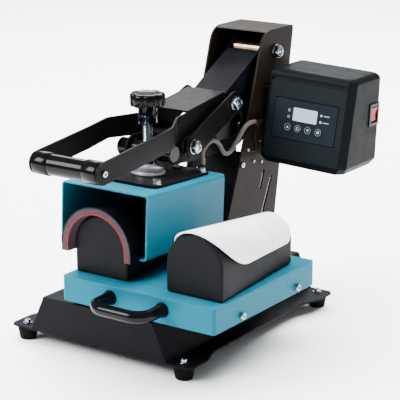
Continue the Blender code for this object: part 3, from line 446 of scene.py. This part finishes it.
def dressed(node, look=None, edge_mm=0.5, segments=2, flat=0.5):
    """A CAD node's own shape, cleaned of its facets' diagonals and given rounded edges."""
    bm = bmesh.new()
    bm.from_mesh(NODES[node].data)
    bmesh.ops.remove_doubles(bm, verts=bm.verts, dist=1e-6)
    bmesh.ops.dissolve_limit(bm, angle_limit=math.radians(flat), verts=bm.verts, edges=bm.edges)
    mesh = bpy.data.meshes.new(f"{node}_look")
    bm.to_mesh(mesh)
    bm.free()
    mesh.shade_smooth()
    made = link(f"{node}_look", mesh, look or SLOT_OF[node], BODY_OF[node],
                (node,), Matrix.Identity(4))
    return rounded_edges(made, edge_mm, segments)


def along(axis, a, b, depth):
    """The point at depth on axis, and at a and b on the other two."""
    return {"x": (depth, a, b), "y": (a, depth, b), "z": (a, b, depth)}[axis]


def lathe(profile, axis, centre, steps=48, bm=None):
    """Rings of (radius, depth) or (corner radius, depth, "hex") joined into a closed solid."""
    bm = bm or bmesh.new()
    rings = []
    for radius, depth, *kind in profile:
        ring = []
        for i in range(steps):
            t = 2 * math.pi * i / steps
            r = radius
            if kind:
                r *= math.cos(math.pi / 6) / math.cos(t % (math.pi / 3) - math.pi / 6)
            ring.append((centre[0] + r * math.cos(t), centre[1] + r * math.sin(t)))
        if radius < 1e-6:
            rings.append([bm.verts.new(along(axis, *centre, depth))])
        else:
            rings.append([bm.verts.new(along(axis, a, b, depth)) for a, b in ring])
    for one, two in zip(rings, rings[1:]):
        for i in range(steps):
            j = (i + 1) % steps
            face = [one[i % len(one)], one[j % len(one)], two[j % len(two)], two[i % len(two)]]
            bm.faces.new(list(dict.fromkeys(face)))
    for ring in (rings[0], rings[-1]):
        if len(ring) > 1:
            bm.faces.new(ring)
    return bm


def turned(name, profile, axis, centre, look, body, nodes=(), place=PRESS, steps=48):
    """A lathed profile as a visible piece."""
    mesh = mesh_of(lathe(profile, axis, centre, steps), name)
    return link(name, mesh, look, body, nodes, place)


def cap_screw(radius, height, socket, washer=0.0, depth=0.0, sign=1.0):
    """The profile of a socket cap screw standing on depth, with a washer under it."""
    rows = []
    if washer:
        rows += [(0, -1.2), (washer - 0.2, -1.2), (washer, -1.0), (washer, -0.2),
                 (washer - 0.2, 0.0)]
    else:
        rows += [(0, -1.0), (radius, -1.0)]
    rows += [(radius, 0.0), (radius, height - 0.5), (radius - 0.15, height - 0.2),
             (radius - 0.5, height), (socket + 0.25, height), (socket, height - 0.25, "hex"),
             (socket, height * 0.45, "hex"), (0, height * 0.35)]
    return [(row[0], depth + sign * row[1], *row[2:]) for row in rows]


def hex_nut(corner, height, bore, depth, sign):
    """The profile of a lock nut with a washer, its collar and the thread's end."""
    dome = 1.6
    rows = [(0, 0), (corner + 0.6, 0), (corner + 0.9, 0.3), (corner + 0.9, 1.3),
            (corner + 0.5, 1.5), (corner - 0.7, 1.5), (corner, 2.2, "hex"),
            (corner, height - dome - 1.0, "hex"), (corner - 1.0, height - dome),
            (corner - 1.6, height - dome), (corner - 2.0, height - 0.5), (corner - 2.8, height),
            (bore + 0.5, height), (bore, height - 0.6), (bore, height - 1.2),
            (bore - 0.6, height - 0.8), (0, height - 0.8)]
    return [(row[0], depth + sign * row[1], *row[2:]) for row in rows]


def hex_head(corner, height, depth, sign):
    """The profile of a hex bolt head with a washer and a chamfered top."""
    rows = [(0, 0), (corner + 0.6, 0), (corner + 0.9, 0.3), (corner + 0.9, 1.3),
            (corner + 0.5, 1.5), (corner - 0.7, 1.5), (corner, 1.9, "hex"),
            (corner, height - 1.1, "hex"), (corner - 1.5, height), (0, height)]
    return [(row[0], depth + sign * row[1], *row[2:]) for row in rows]


def smooth_route(points, cuts):
    """A Catmull-Rom curve through points."""
    result = []
    ends = [points[0]] + points + [points[-1]]
    for a, b, c, d in zip(ends, ends[1:], ends[2:], ends[3:]):
        for k in range(cuts):
            t = k / cuts
            result.append(Vector([0.5 * (2 * q + (r - p) * t + (2 * p - 5 * q + 4 * r - s) * t * t
                                         + (3 * q - p - 3 * r + s) * t ** 3)
                                  for p, q, r, s in zip(a, b, c, d)]))
    return result + [Vector(points[-1])]


def tube(route, radius, sides=20):
    """A round tube along route, with UVs in metres along it and turns round it."""
    bm = bmesh.new()
    uv = bm.loops.layers.uv.new("UVMap")
    rings, length, previous = [], [0.0], None
    normal = Vector((0, 0, 1))
    for i, point in enumerate(route):
        ahead = (route[min(i + 1, len(route) - 1)] - route[max(i - 1, 0)]).normalized()
        normal = (normal - ahead * normal.dot(ahead))
        normal = normal.normalized() if normal.length > 1e-6 else ahead.orthogonal().normalized()
        side = ahead.cross(normal)
        reach = radius(i / (len(route) - 1)) if callable(radius) else radius
        rings.append([bm.verts.new(point + (normal * math.cos(t) + side * math.sin(t)) * reach)
                      for t in (2 * math.pi * k / sides for k in range(sides))])
        if previous is not None:
            length.append(length[-1] + (point - previous).length * MM)
        previous = point
    for i, (one, two) in enumerate(zip(rings, rings[1:])):
        for k in range(sides):
            j = (k + 1) % sides
            face = bm.faces.new((one[k], one[j], two[j], two[k]))
            corners = ((i, k), (i, k + 1), (i + 1, k + 1), (i + 1, k))
            for loop, (row, turn) in zip(face.loops, corners):
                loop[uv].uv = (length[row], turn / sides)
    bm.faces.new(rings[0])
    bm.faces.new(rings[-1])
    return bm


def skin(bm, rings):
    """Join closed rings of equal length, and close the first and the last."""
    for one, two in zip(rings, rings[1:]):
        for i in range(len(one)):
            j = (i + 1) % len(one)
            bm.faces.new((one[i], one[j], two[j], two[i]))
    bm.faces.new(rings[0])
    bm.faces.new(rings[-1])


def prism(outline, axis, low, high):
    """outline, drawn across axis, stretched along it from low to high."""
    bm = bmesh.new()
    ends = [[bm.verts.new(along(axis, a, b, depth)) for a, b in outline] for depth in (low, high)]
    for i in range(len(outline)):
        j = (i + 1) % len(outline)
        bm.faces.new((ends[0][i], ends[0][j], ends[1][j], ends[1][i]))
    bm.faces.new(ends[0])
    bm.faces.new(ends[1])
    return bm


def rounded(x0, z0, x1, z1, radius, steps=6):
    """A rectangle with round corners; radius is one number or one for each corner."""
    radii = radius if isinstance(radius, tuple) else (radius,) * 4
    points = []
    for (x, z, sx, sz, start), r in zip(((x0, z0, 1, 1, 180), (x1, z0, -1, 1, 270),
                                         (x1, z1, -1, -1, 0), (x0, z1, 1, -1, 90)), radii):
        for k in range(steps + 1):
            t = math.radians(start + 90 * k / steps)
            points.append((x + sx * r + r * math.cos(t), z + sz * r + r * math.sin(t)))
    return points


def slab(name, outline, axis, low, high, look, body, place):
    """A prism as a visible piece."""
    return link(name, mesh_of(prism(outline, axis, low, high), name), look, body, place=place)


# ---------------------------------------------------------------- camera, light and floor
def studio():
    eye, target = PRESS @ Vector(EYE), PRESS @ Vector(TARGET)
    data = bpy.data.cameras.new("camera")
    data.lens, data.sensor_width = LENS, SENSOR
    camera = bpy.data.objects.new("camera", data)
    bpy.context.scene.collection.objects.link(camera)
    turn = (target - eye).to_track_quat("-Z", "Y").to_matrix().to_4x4()
    camera.matrix_world = (Matrix.Translation(eye) @ turn
                           @ Matrix.Rotation(CAMERA_ROLL, 4, "Z"))
    bpy.context.scene.camera = camera

    world = bpy.data.worlds.new("studio")
    world.use_nodes = True
    background = world.node_tree.nodes["Background"]
    background.inputs["Color"].default_value = (1.0, 1.0, 1.0, 1.0)
    background.inputs["Strength"].default_value = WORLD_STRENGTH
    bpy.context.scene.world = world

    for name, (at, size, power) in LIGHTS.items():
        light = bpy.data.lights.new(name, "AREA")
        light.shape, light.size, light.energy = "SQUARE", size * MM, power
        obj = bpy.data.objects.new(name, light)
        obj.visible_glossy = name != "overhead"     # mirrored, it would grey the black paint
        bpy.context.scene.collection.objects.link(obj)
        spot = PRESS @ Vector(at)
        turn = (PRESS @ Vector(LIT_SPOT) - spot).to_track_quat("-Z", "Y")
        obj.matrix_world = Matrix.Translation(spot) @ turn.to_matrix().to_4x4()

    bm = bmesh.new()
    rows = [[bm.verts.new((x, y, z - 0.2)) for x in (-FLOOR_HALF, FLOOR_HALF)]
            for y, z in FLOOR_SWEEP]
    for one, two in zip(rows, rows[1:]):
        bm.faces.new((one[0], one[1], two[1], two[0]))
    mesh = mesh_of(bm, "floor", 80.0)
    mesh.transform(PRESS)
    floor = bpy.data.objects.new("floor", mesh)
    bpy.context.scene.collection.objects.link(floor)
    paper = Look("floor_paper", (0.93, 0.93, 0.93), 0.9)
    paper.tint(paper.between(paper.noise(1.5, 2.0), 0.3, 0.7, 0.0, 0.5), (0.90, 0.90, 0.905))
    paper.bump(paper.noise(300.0), 0.02)
    mesh.materials.append(paper.done())


# ---------------------------------------------------------------- frame, tray and forms
def lower_frame():
    dressed("base_frame", "frame_steel", 0.8, 3)
    dressed("tray", None, 1.1, 3)
    for end in ("front", "rear"):
        for side in ("left", "right"):
            dressed(f"foot_{end}_{side}", None, 0.8, 3)
        dressed(f"rod_bearing_{end}", None, 0.6)
        for side, sx in (("left", -1), ("right", 1)):
            sy = -1 if end == "front" else 1
            turned(f"foot_screw_{end}_{side}", cap_screw(4.2, 4.6, 2.1, 7.0, FOOT_TOP),
                   "z", (sx * FOOT_X, sy * FOOT_Y), "bright_steel", "frame")
    for end, y in (("front", -138.0), ("rear", 3.0)):
        for side, x, sign in (("left", -49.5, -1), ("right", 201.5, 1)):
            turned(f"rod_screw_{end}_{side}", cap_screw(4.8, 5.2, 2.4, 0.0, x, sign),
                   "x", (y, ROD_Z), "bright_steel", "frame")

    (x0, x1), bend = HANDLE_X, HANDLE_BEND
    route = [Vector((x0, y, HANDLE_Z)) for y in HANDLE_ENDS_Y]
    for centre, start in ((x0 + bend, 180), (x1 - bend, 270)):
        for turn in (math.radians(start + 9 * k) for k in range(11)):
            route.append(Vector((centre + bend * math.cos(turn),
                                 HANDLE_OUT + bend + bend * math.sin(turn), HANDLE_Z)))
    route += [Vector((x1, y, HANDLE_Z)) for y in HANDLE_ENDS_Y[::-1]]

    def radius(share):
        return HANDLE_R + HANDLE_FLARE * max(0.0, 1 - min(share, 1 - share) / 0.07) ** 2

    mesh = mesh_of(tube(route, radius, 32), "tray_handle_look", 60)
    link("tray_handle_look", mesh, "black_gloss", "frame", nodes=("tray_handle",))
    for side in ("left", "right"):
        dressed(f"form_{side}", None, 1.0, 3)


def shell_half_width(t):
    """Distance from the guard's ridge to its edge, at t along it from the nose."""
    nose = min(1.0, t / GUARD_NOSE)
    corner = max(0.0, (t - GUARD_CORNER) / (1.0 - GUARD_CORNER))
    taper = 1.0 - GUARD_TAPER * max(0.0, t - GUARD_NOSE)
    width = (GUARD_TIP + GUARD_SWELL * math.sqrt(nose * (2 - nose))) * taper
    return width - GUARD_CORNER_CUT * (1.0 - math.sqrt(max(0.0, 1.0 - corner ** 2)))


def guard_blank():
    """The loose white shell on the right form, with a rolled edge."""
    (y0, y1), (inner, outer) = GUARD_Y, GUARD_FACES
    stations, across, roll = 72, 48, 4

    def point(y, s, offset):
        back = (y - FORM_Y0) / FORM_LENGTH
        radius = FORM_R - FORM_R_LOSS * back
        centre = FORM_TOP - FORM_TOP_FALL * back - radius
        quarter = radius * math.pi / 2
        if abs(s) <= quarter:
            return (FORM_PITCH + (radius + offset) * math.sin(s / radius), y,
                    centre + (radius + offset) * math.cos(s / radius))
        return (FORM_PITCH + math.copysign(radius + offset, s), y, centre - (abs(s) - quarter))

    bm = bmesh.new()
    rings = []
    middle, half = (inner + outer) / 2, (outer - inner) / 2
    for i in range(stations + 1):
        t = (1.0 - math.cos(math.pi * i / stations)) / 2
        y = y0 + (y1 - y0) * t
        reach = shell_half_width(t) - half
        row = [(reach * (2 * k / across - 1), outer) for k in range(across + 1)]
        for k in range(1, roll):
            turn = math.pi * k / roll
            row.append((reach + half * math.sin(turn), middle + half * math.cos(turn)))
        row += [(reach * (1 - 2 * k / across), inner) for k in range(across + 1)]
        for k in range(1, roll):
            turn = math.pi * k / roll
            row.append((-reach - half * math.sin(turn), middle - half * math.cos(turn)))
        rings.append([bm.verts.new(point(y, s, offset)) for s, offset in row])
    skin(bm, rings)
    made = link("guard_blank_look", mesh_of(bm, "guard_blank_look", 50), "white_plastic", "blank",
                nodes=("guard_blank",))
    rounded_edges(made, 0.5, 2, 40)


# ---------------------------------------------------------------- column and toggle
def through_bolt(name, node, y_z, half, corner, body):
    """A bolt along X with a hex head on the left and a lock nut on the right."""
    y, z = y_z
    shank = [(0, -half), (5.9, -half), (5.9, half), (0, half)]
    bm = lathe(shank, "x", (y, z), 24)
    lathe(hex_head(corner, 7.0, -half, -1), "x", (y, z), 48, bm)
    lathe(hex_nut(corner, 8.6, 5.0, half, 1), "x", (y, z), 48, bm)
    link(name, mesh_of(bm, name), "bright_steel", body, nodes=(node,))


def column_and_toggle():
    dressed("column", "column_steel", 0.7, 3)
    dressed("column_front_panel", "frame_steel", 0.5)
    dressed("upper_link", "frame_steel", 0.6, 3)
    dressed("lever_frame", "black_steel", 0.5, 2, 0.2)
    dressed("pressing_arm", "black_steel", 0.5)
    dressed("cross_shaft", None, 0.4)
    through_bolt("top_bolt_look", "top_pivot_bolt", TOP_PIVOT, 46.3, 10.2, "frame")
    through_bolt("lever_bolt_look", "lever_pivot_bolt", LEVER_PIVOT, 43.6, 10.0, "lever")
    through_bolt("link_bolt_look", "link_pivot_bolt", LINK_PIVOT, 43.6, 10.0, "lever")
    for side, sign in (("left", -1), ("right", 1)):
        dressed(f"link_plate_{side}", "black_steel", 0.5)
        low, high = sorted((sign * 32.3, sign * 40.0))
        boss = [(6.4, low), (11.4, low), (12.0, low + 0.6), (12.0, high - 0.6),
                (11.4, high), (6.4, high)]
        turned(f"lever_boss_{side}_look", boss, "x", LEVER_PIVOT, "black_gloss", "lever",
               nodes=(f"lever_boss_{side}",))
        at = sign * 33.2
        ring = [(12.1, at - 0.8), (13.2, at - 0.8), (13.4, at - 0.4), (13.4, at + 0.4),
                (13.2, at + 0.8), (12.1, at + 0.8)]
        turned(f"lever_washer_{side}", ring, "x", LEVER_PIVOT, "bare_edge", "lever")
        spacer = sorted((sign * 32.6, sign * 39.9))
        collar = [(6.4, spacer[0]), (9.0, spacer[0]), (9.0, spacer[1]), (6.4, spacer[1])]
        turned(f"link_spacer_{side}", collar, "x", LINK_PIVOT, "bright_steel", "lever")
        turned(f"grip_screw_{side}", cap_screw(4.6, 2.6, 2.2, 0.0, sign * 57.0, sign), "x",
               GRIP_YZ, "bright_steel", "lever")

    half = [(14.6, 0), (14.6, 28.2), (14.0, 28.8), (14.0, 29.4), (15.4, 30.2), (16.0, 31.2),
            (16.0, 50.6), (15.4, 52.6), (13.6, 53.6)]
    profile = [(r, -d) for r, d in half[::-1]] + half[1:]
    turned("grip_look", profile, "x", GRIP_YZ, "black_gloss", "lever", nodes=("grip",),
           steps=64)

    for name, at, look in (("plate_bolt", (102, 223), "bright_steel"),
                           ("plate_pin_low", (134, 222), "bright_steel"),
                           ("plate_pin_rear", (155.5, 217), "bright_steel"),
                           ("plate_pin_high", (150, 251), "bright_steel"),
                           ("sensor_screw", (119, 242), "white_ink")):
        size = 4.2 if name == "plate_bolt" else 2.3
        turned(name, cap_screw(size, size * 0.8, size * 0.5, 0.0, 46.0), "x", at, look, "frame")
    wire = [(50.5, 133, 274), (51.5, 127, 266), (52, 128, 256), (51.5, 131, 246), (50, 127, 240),
            (48.6, 121, 241.5)]
    mesh = mesh_of(tube(smooth_route(wire, 6), 1.1, 12), "sensor_wire", 60)
    link("sensor_wire", mesh, "black_gloss", "frame")


# ---------------------------------------------------------------- knob, head and heater
def pressure_screw():
    bm = bmesh.new()
    sides = 160
    rings = []
    profile = [(0.30, 337.8), (0.93, 337.1), (0.97, 338.1), (1.0, 340.2), (1.0, 351.8),
               (0.965, 353.9), (0.90, 355.1), (0.62, 355.5), (0.50, 354.6), (0.25, 354.4)]
    for scale, z in profile:
        ring = []
        for k in range(sides):
            t = 2 * math.pi * k / sides
            dent = KNOB_DENT * max(0.0, -math.cos(KNOB_LOBES * t)) ** 0.8
            reach = (KNOB_R - (dent if scale > 0.85 else 0.0)) * scale
            ring.append(bm.verts.new((reach * math.cos(t), STUD_Y + reach * math.sin(t), z)))
        rings.append(ring)
    skin(bm, rings)
    hub = [(8.2, 325.3), (12.9, 325.3), (13.5, 326.0), (13.5, 336.6), (14.2, 338.2), (8.2, 338.2)]
    lathe(hub, "z", (0, STUD_Y), 48, bm)
    link("star_knob_look", mesh_of(bm, "star_knob_look", 40), "black_gloss", "knob",
         nodes=("star_knob",))

    nut = [(8.2, 313.0), (13.4, 313.0), (15.0, 314.0, "hex"), (15.0, 324.0, "hex"),
           (13.4, 325.0), (8.2, 325.0)]
    turned("lock_nut_look", nut, "z", (0, STUD_Y), "dark_plate", "knob", nodes=("lock_nut",))

    bm = bmesh.new()
    around = 40
    steps = int((STUD_HIGH - STUD_LOW) / THREAD_PITCH * 6)
    rings = []
    for i in range(steps + 1):
        z = STUD_LOW + (STUD_HIGH - STUD_LOW) * i / steps
        fade = min(1.0, (z - STUD_LOW) / 3.0)
        ring = []
        for k in range(around):
            phase = (z / THREAD_PITCH - k / around) % 1.0
            reach = 7.95 - 1.15 * abs(2 * phase - 1) * fade - 1.4 * (1 - fade)
            t = 2 * math.pi * k / around
            ring.append(bm.verts.new((reach * math.cos(t), STUD_Y + reach * math.sin(t), z)))
        rings.append(ring)
    skin(bm, rings)
    link("pressure_stud_look", mesh_of(bm, "pressure_stud_look", 60), "bright_steel", "knob",
         nodes=("pressure_stud",))


def head():
    dressed("head_housing", None, 0.5, 2)
    dressed("head_plate", "black_steel", 0.5)
    boss = [(9.6, 8.0), (9.6, 4.7), (23.6, 4.7), (24.2, 5.2), (24.2, 8.0), (23.8, 8.6),
            (22.9, 8.6), (22.2, 9.2), (22.7, 10.0), (22.7, 18.0), (21.8, 19.0), (10.6, 19.0),
            (9.6, 18.2)]
    turned("head_boss_look", boss, "z", (0, 0), "aluminium", "head", nodes=("head_boss",),
           place=HEAD, steps=96)
    for i, (x, y) in enumerate([(sx * 49.0, y) for sx in (-1, 1) for y in (-48.0, 60.0)], 1):
        turned(f"head_screw_{i}_look", cap_screw(5.6, 5.6, 2.9, 7.6, 5.6), "z", (x, y),
               "bright_steel", "head", nodes=(f"head_screw_{i}",), place=HEAD)
    for side, x in (("left", -14.0), ("right", 14.0)):
        pin = [(0, 4.7), (7.0, 4.7), (7.5, 5.1), (7.5, 7.2), (7.1, 7.6), (3.6, 7.6), (3.4, 8.0),
               (3.4, 21.0), (2.6, 22.0), (0, 22.0)]
        turned(f"guide_pin_{side}_look", pin, "z", (x, 51.0), "bright_steel", "head",
               nodes=(f"guide_pin_{side}",), place=HEAD)
    dressed("heater_shell", None, 0.25)
    dressed("heater_mat", None, 0.6)
    dressed("heater_liner", None, 0.2)
    dressed("heater_face", None, 0.1)

    route = [(50.0, 142, 281), (50.3, 128, 284), (50.5, 113, 284), (50.0, 101, 279),
             (47.0, 94, 268), (42.0, 89, 256), (38.0, 83, 246), (36.2, 74, 244),
             (36.0, 66, 250), (36.0, 58, 260), (36.0, 48, 268), (35.8, 36, 270.5),
             (35.6, 25, 267), (35.9, 15, 259.5), (38.5, 10, 255), (43.0, 5, 250), (45.0, 1, 243.5)]
    mesh = mesh_of(tube(smooth_route(route, 8), 3.2, 24), "heater_cable_look", 60)
    cable = link("heater_cable_look", mesh, "grey_braid", None, nodes=("heater_cable",))
    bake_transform(cable)
    dressed("cable_clip", None, 0.5)


# ---------------------------------------------------------------- control box
def cut_from(obj, bm, place=BOX):
    """Cut bm away from obj and leave the result in its mesh."""
    mesh = mesh_of(bm, f"{obj.name}_tool")
    mesh.transform(place)
    tool = bpy.data.objects.new(mesh.name, mesh)
    bpy.context.scene.collection.objects.link(tool)
    mod = obj.modifiers.new("Cut", "BOOLEAN")
    mod.solver = "EXACT"
    mod.object = tool
    bpy.context.view_layer.update()
    whole = bpy.data.meshes.new_from_object(obj.evaluated_get(
        bpy.context.evaluated_depsgraph_get()))
    obj.modifiers.clear()
    obj.data = whole
    bpy.data.objects.remove(tool, do_unlink=True)


def panel_mark(name, outline, look, y_front, body="frame", thick=0.15):
    """A printed or inlaid mark on the control box's face."""
    return slab(name, outline, "y", y_front, y_front + thick, look, body, FACE)


def disc(x, z, radius, sides=32):
    """The outline of a disc round x, z."""
    return [(x + radius * math.cos(2 * math.pi * k / sides),
             z + radius * math.sin(2 * math.pi * k / sides)) for k in range(sides)]


def band(x, z, inner, outer, start, end, steps=28):
    """Part of a flat ring."""
    turns = [math.radians(start + (end - start) * k / steps) for k in range(steps + 1)]
    return ([(x + outer * math.cos(t), z + outer * math.sin(t)) for t in turns]
            + [(x + inner * math.cos(t), z + inner * math.sin(t)) for t in turns[::-1]])


def corner_arc(before, at, after, radius, steps=6):
    """Points on the arc of radius that rounds off the corner at, between two neighbours."""
    at = Vector(at)
    one, two = (Vector(before) - at).normalized(), (Vector(after) - at).normalized()
    half = one.angle(two) / 2
    middle = at + (one + two).normalized() * radius / math.sin(half)
    first, last = (at + side * radius / math.tan(half) - middle for side in (one, two))
    turn = math.atan2(first.cross(last), first.dot(last))
    return [middle + Matrix.Rotation(turn * k / steps, 2) @ first for k in range(steps + 1)]


def case_ring(z, inset):
    """The case's plan at height z: its front wall leans, and its front right edge is cut off."""
    x0, x1, y1 = inset, BOX_WIDTH - inset, BOX_DEPTH - inset
    y0 = z * math.tan(BOX_LEAN) + inset
    corners = [(x0, y0, 3), (x1 - CHAMFER[0], y0, 3), (x1, y0 + CHAMFER[1], 3), (x1, y1, 9),
               (x0, y1, 5)]
    ring = []
    for i, (x, y, radius) in enumerate(corners):
        ring += corner_arc(corners[i - 1][:2], (x, y), corners[(i + 1) % 5][:2], radius)
    return [(p.x, p.y, z) for p in ring]


def control_box():
    bm = bmesh.new()
    heights = [(-8.0, 7.0), (-7.4, 5.8), (1.0, 0.3), (3.0, 0.0), (CASE_TOP, 0.0)]
    heights += [(CASE_TOP + CASE_TOP_R * math.sin(t), CASE_TOP_R * (1 - math.cos(t)))
                for t in (math.radians(9 * k) for k in range(1, 11))]
    rings = [[bm.verts.new(p) for p in case_ring(*row)] for row in heights]
    skin(bm, rings)
    body = link("box_body", mesh_of(bm, "box_body"), "box_shell", "frame",
                ("box_case",), BOX)
    cut_from(body, prism([(3, 24), (136, 24), (136, 101), (3, 101)], "z", 2.0, 120.0))
    cut_from(body, prism(rounded(*MOUTH, 4.0), "y", -20.0, 28.0), FACE)
    cut_from(body, prism(rounded(72.5, 57.0, 95.5, 85.0, 1.0), "x",
                         BOX_WIDTH - 9, BOX_WIDTH + 9))
    cut_from(body, prism(rounded(20, 18, 47, 38, 1.0), "y", BOX_DEPTH - 10, BOX_DEPTH + 10))
    rounded_edges(body, 0.9, 3, 50)
    for node, look, edge in (("box_bezel", None, 0.7), ("display_window", None, 0.3),
                             ("power_inlet", None, 0.5), ("switch_bezel", "black_gloss", 0.6),
                             ("power_rocker", None, 0.8), ("box_bracket", None, 0.6)):
        dressed(node, look, edge, 3)

    x0, z0, x1, z1 = WINDOW
    frame_line = rounded(*WINDOW, 3.0)
    inner_line = rounded(x0 + 1, z0 + 1, x1 - 1, z1 - 1, 2.6)
    count = len(frame_line)
    for part, (start, end) in enumerate(((0, count // 2), (count // 2, count))):
        picks = [i % count for i in range(start, end + 1)]
        strip = [frame_line[i] for i in picks] + [inner_line[i] for i in picks[::-1]]
        panel_mark(f"window_line_{part}", strip, "black_gloss", 0.12)
    panel_mark("display", rounded(47.6, 60.6, 88.0, 80.0, 1.8), "display", 0.12, thick=0.1)
    for i, z in enumerate((74.8, 65.1)):
        panel_mark(f"lamp_{i + 1}", disc(94.6, z, 1.9), "white_ink", 0.10)
        panel_mark(f"lamp_label_{i + 1}", rounded(98.6, z - 0.6, 108.0, z + 0.6, 0.5),
                   "white_ink", 0.12)
        panel_mark(f"unit_mark_{i + 1}", band(40.8, z + 0.2, 1.3, 2.1, 0, 320), "white_ink", 0.12)
    for i in range(4):
        x, z, at = BUTTON_X0 + BUTTON_STEP * i, BUTTON_Z, -1.52
        name = f"button_{i + 1}"
        dressed(name, None, 0.4, 3)
        for part, (start, end) in enumerate(((0, 180), (180, 360))):
            panel_mark(f"{name}_ring_{part}", band(x, z, 4.7, 5.0, start, end), "white_ink", at,
                       name)
        glyph = ([(x - 2.4, z - 1.7), (x + 2.4, z - 1.7), (x, z + 2.4)],
                 band(x, z, 1.5, 2.5, 60, 380),
                 [(x - 2.4, z + 1.7), (x, z - 2.4), (x + 2.4, z + 1.7)],
                 rounded(x - 1.9, z - 1.9, x + 1.9, z + 1.9, 0.5))[i]
        panel_mark(f"{name}_glyph", glyph, "white_ink", at, name)

    knockout = band(53.0, 73.5, 3.7, 4.4, -150, 150)
    slab("box_knockout", knockout, "x", BOX_WIDTH - 0.1, BOX_WIDTH + 0.12, "rubber", "frame", BOX)
    slab("box_seam", rounded(21.0, 46.3, 97.0, 46.8, 0.2), "x", BOX_WIDTH - 0.2,
         BOX_WIDTH + 0.05, "rubber", "frame", BOX)


studio()
lower_frame()
guard_blank()
column_and_toggle()
pressure_screw()
head()
control_box()
for node in NODES:
    if not NODES[node].hide_render:
        NODES[node].material_slots[0].material = LOOKS[SLOT_OF[node]]
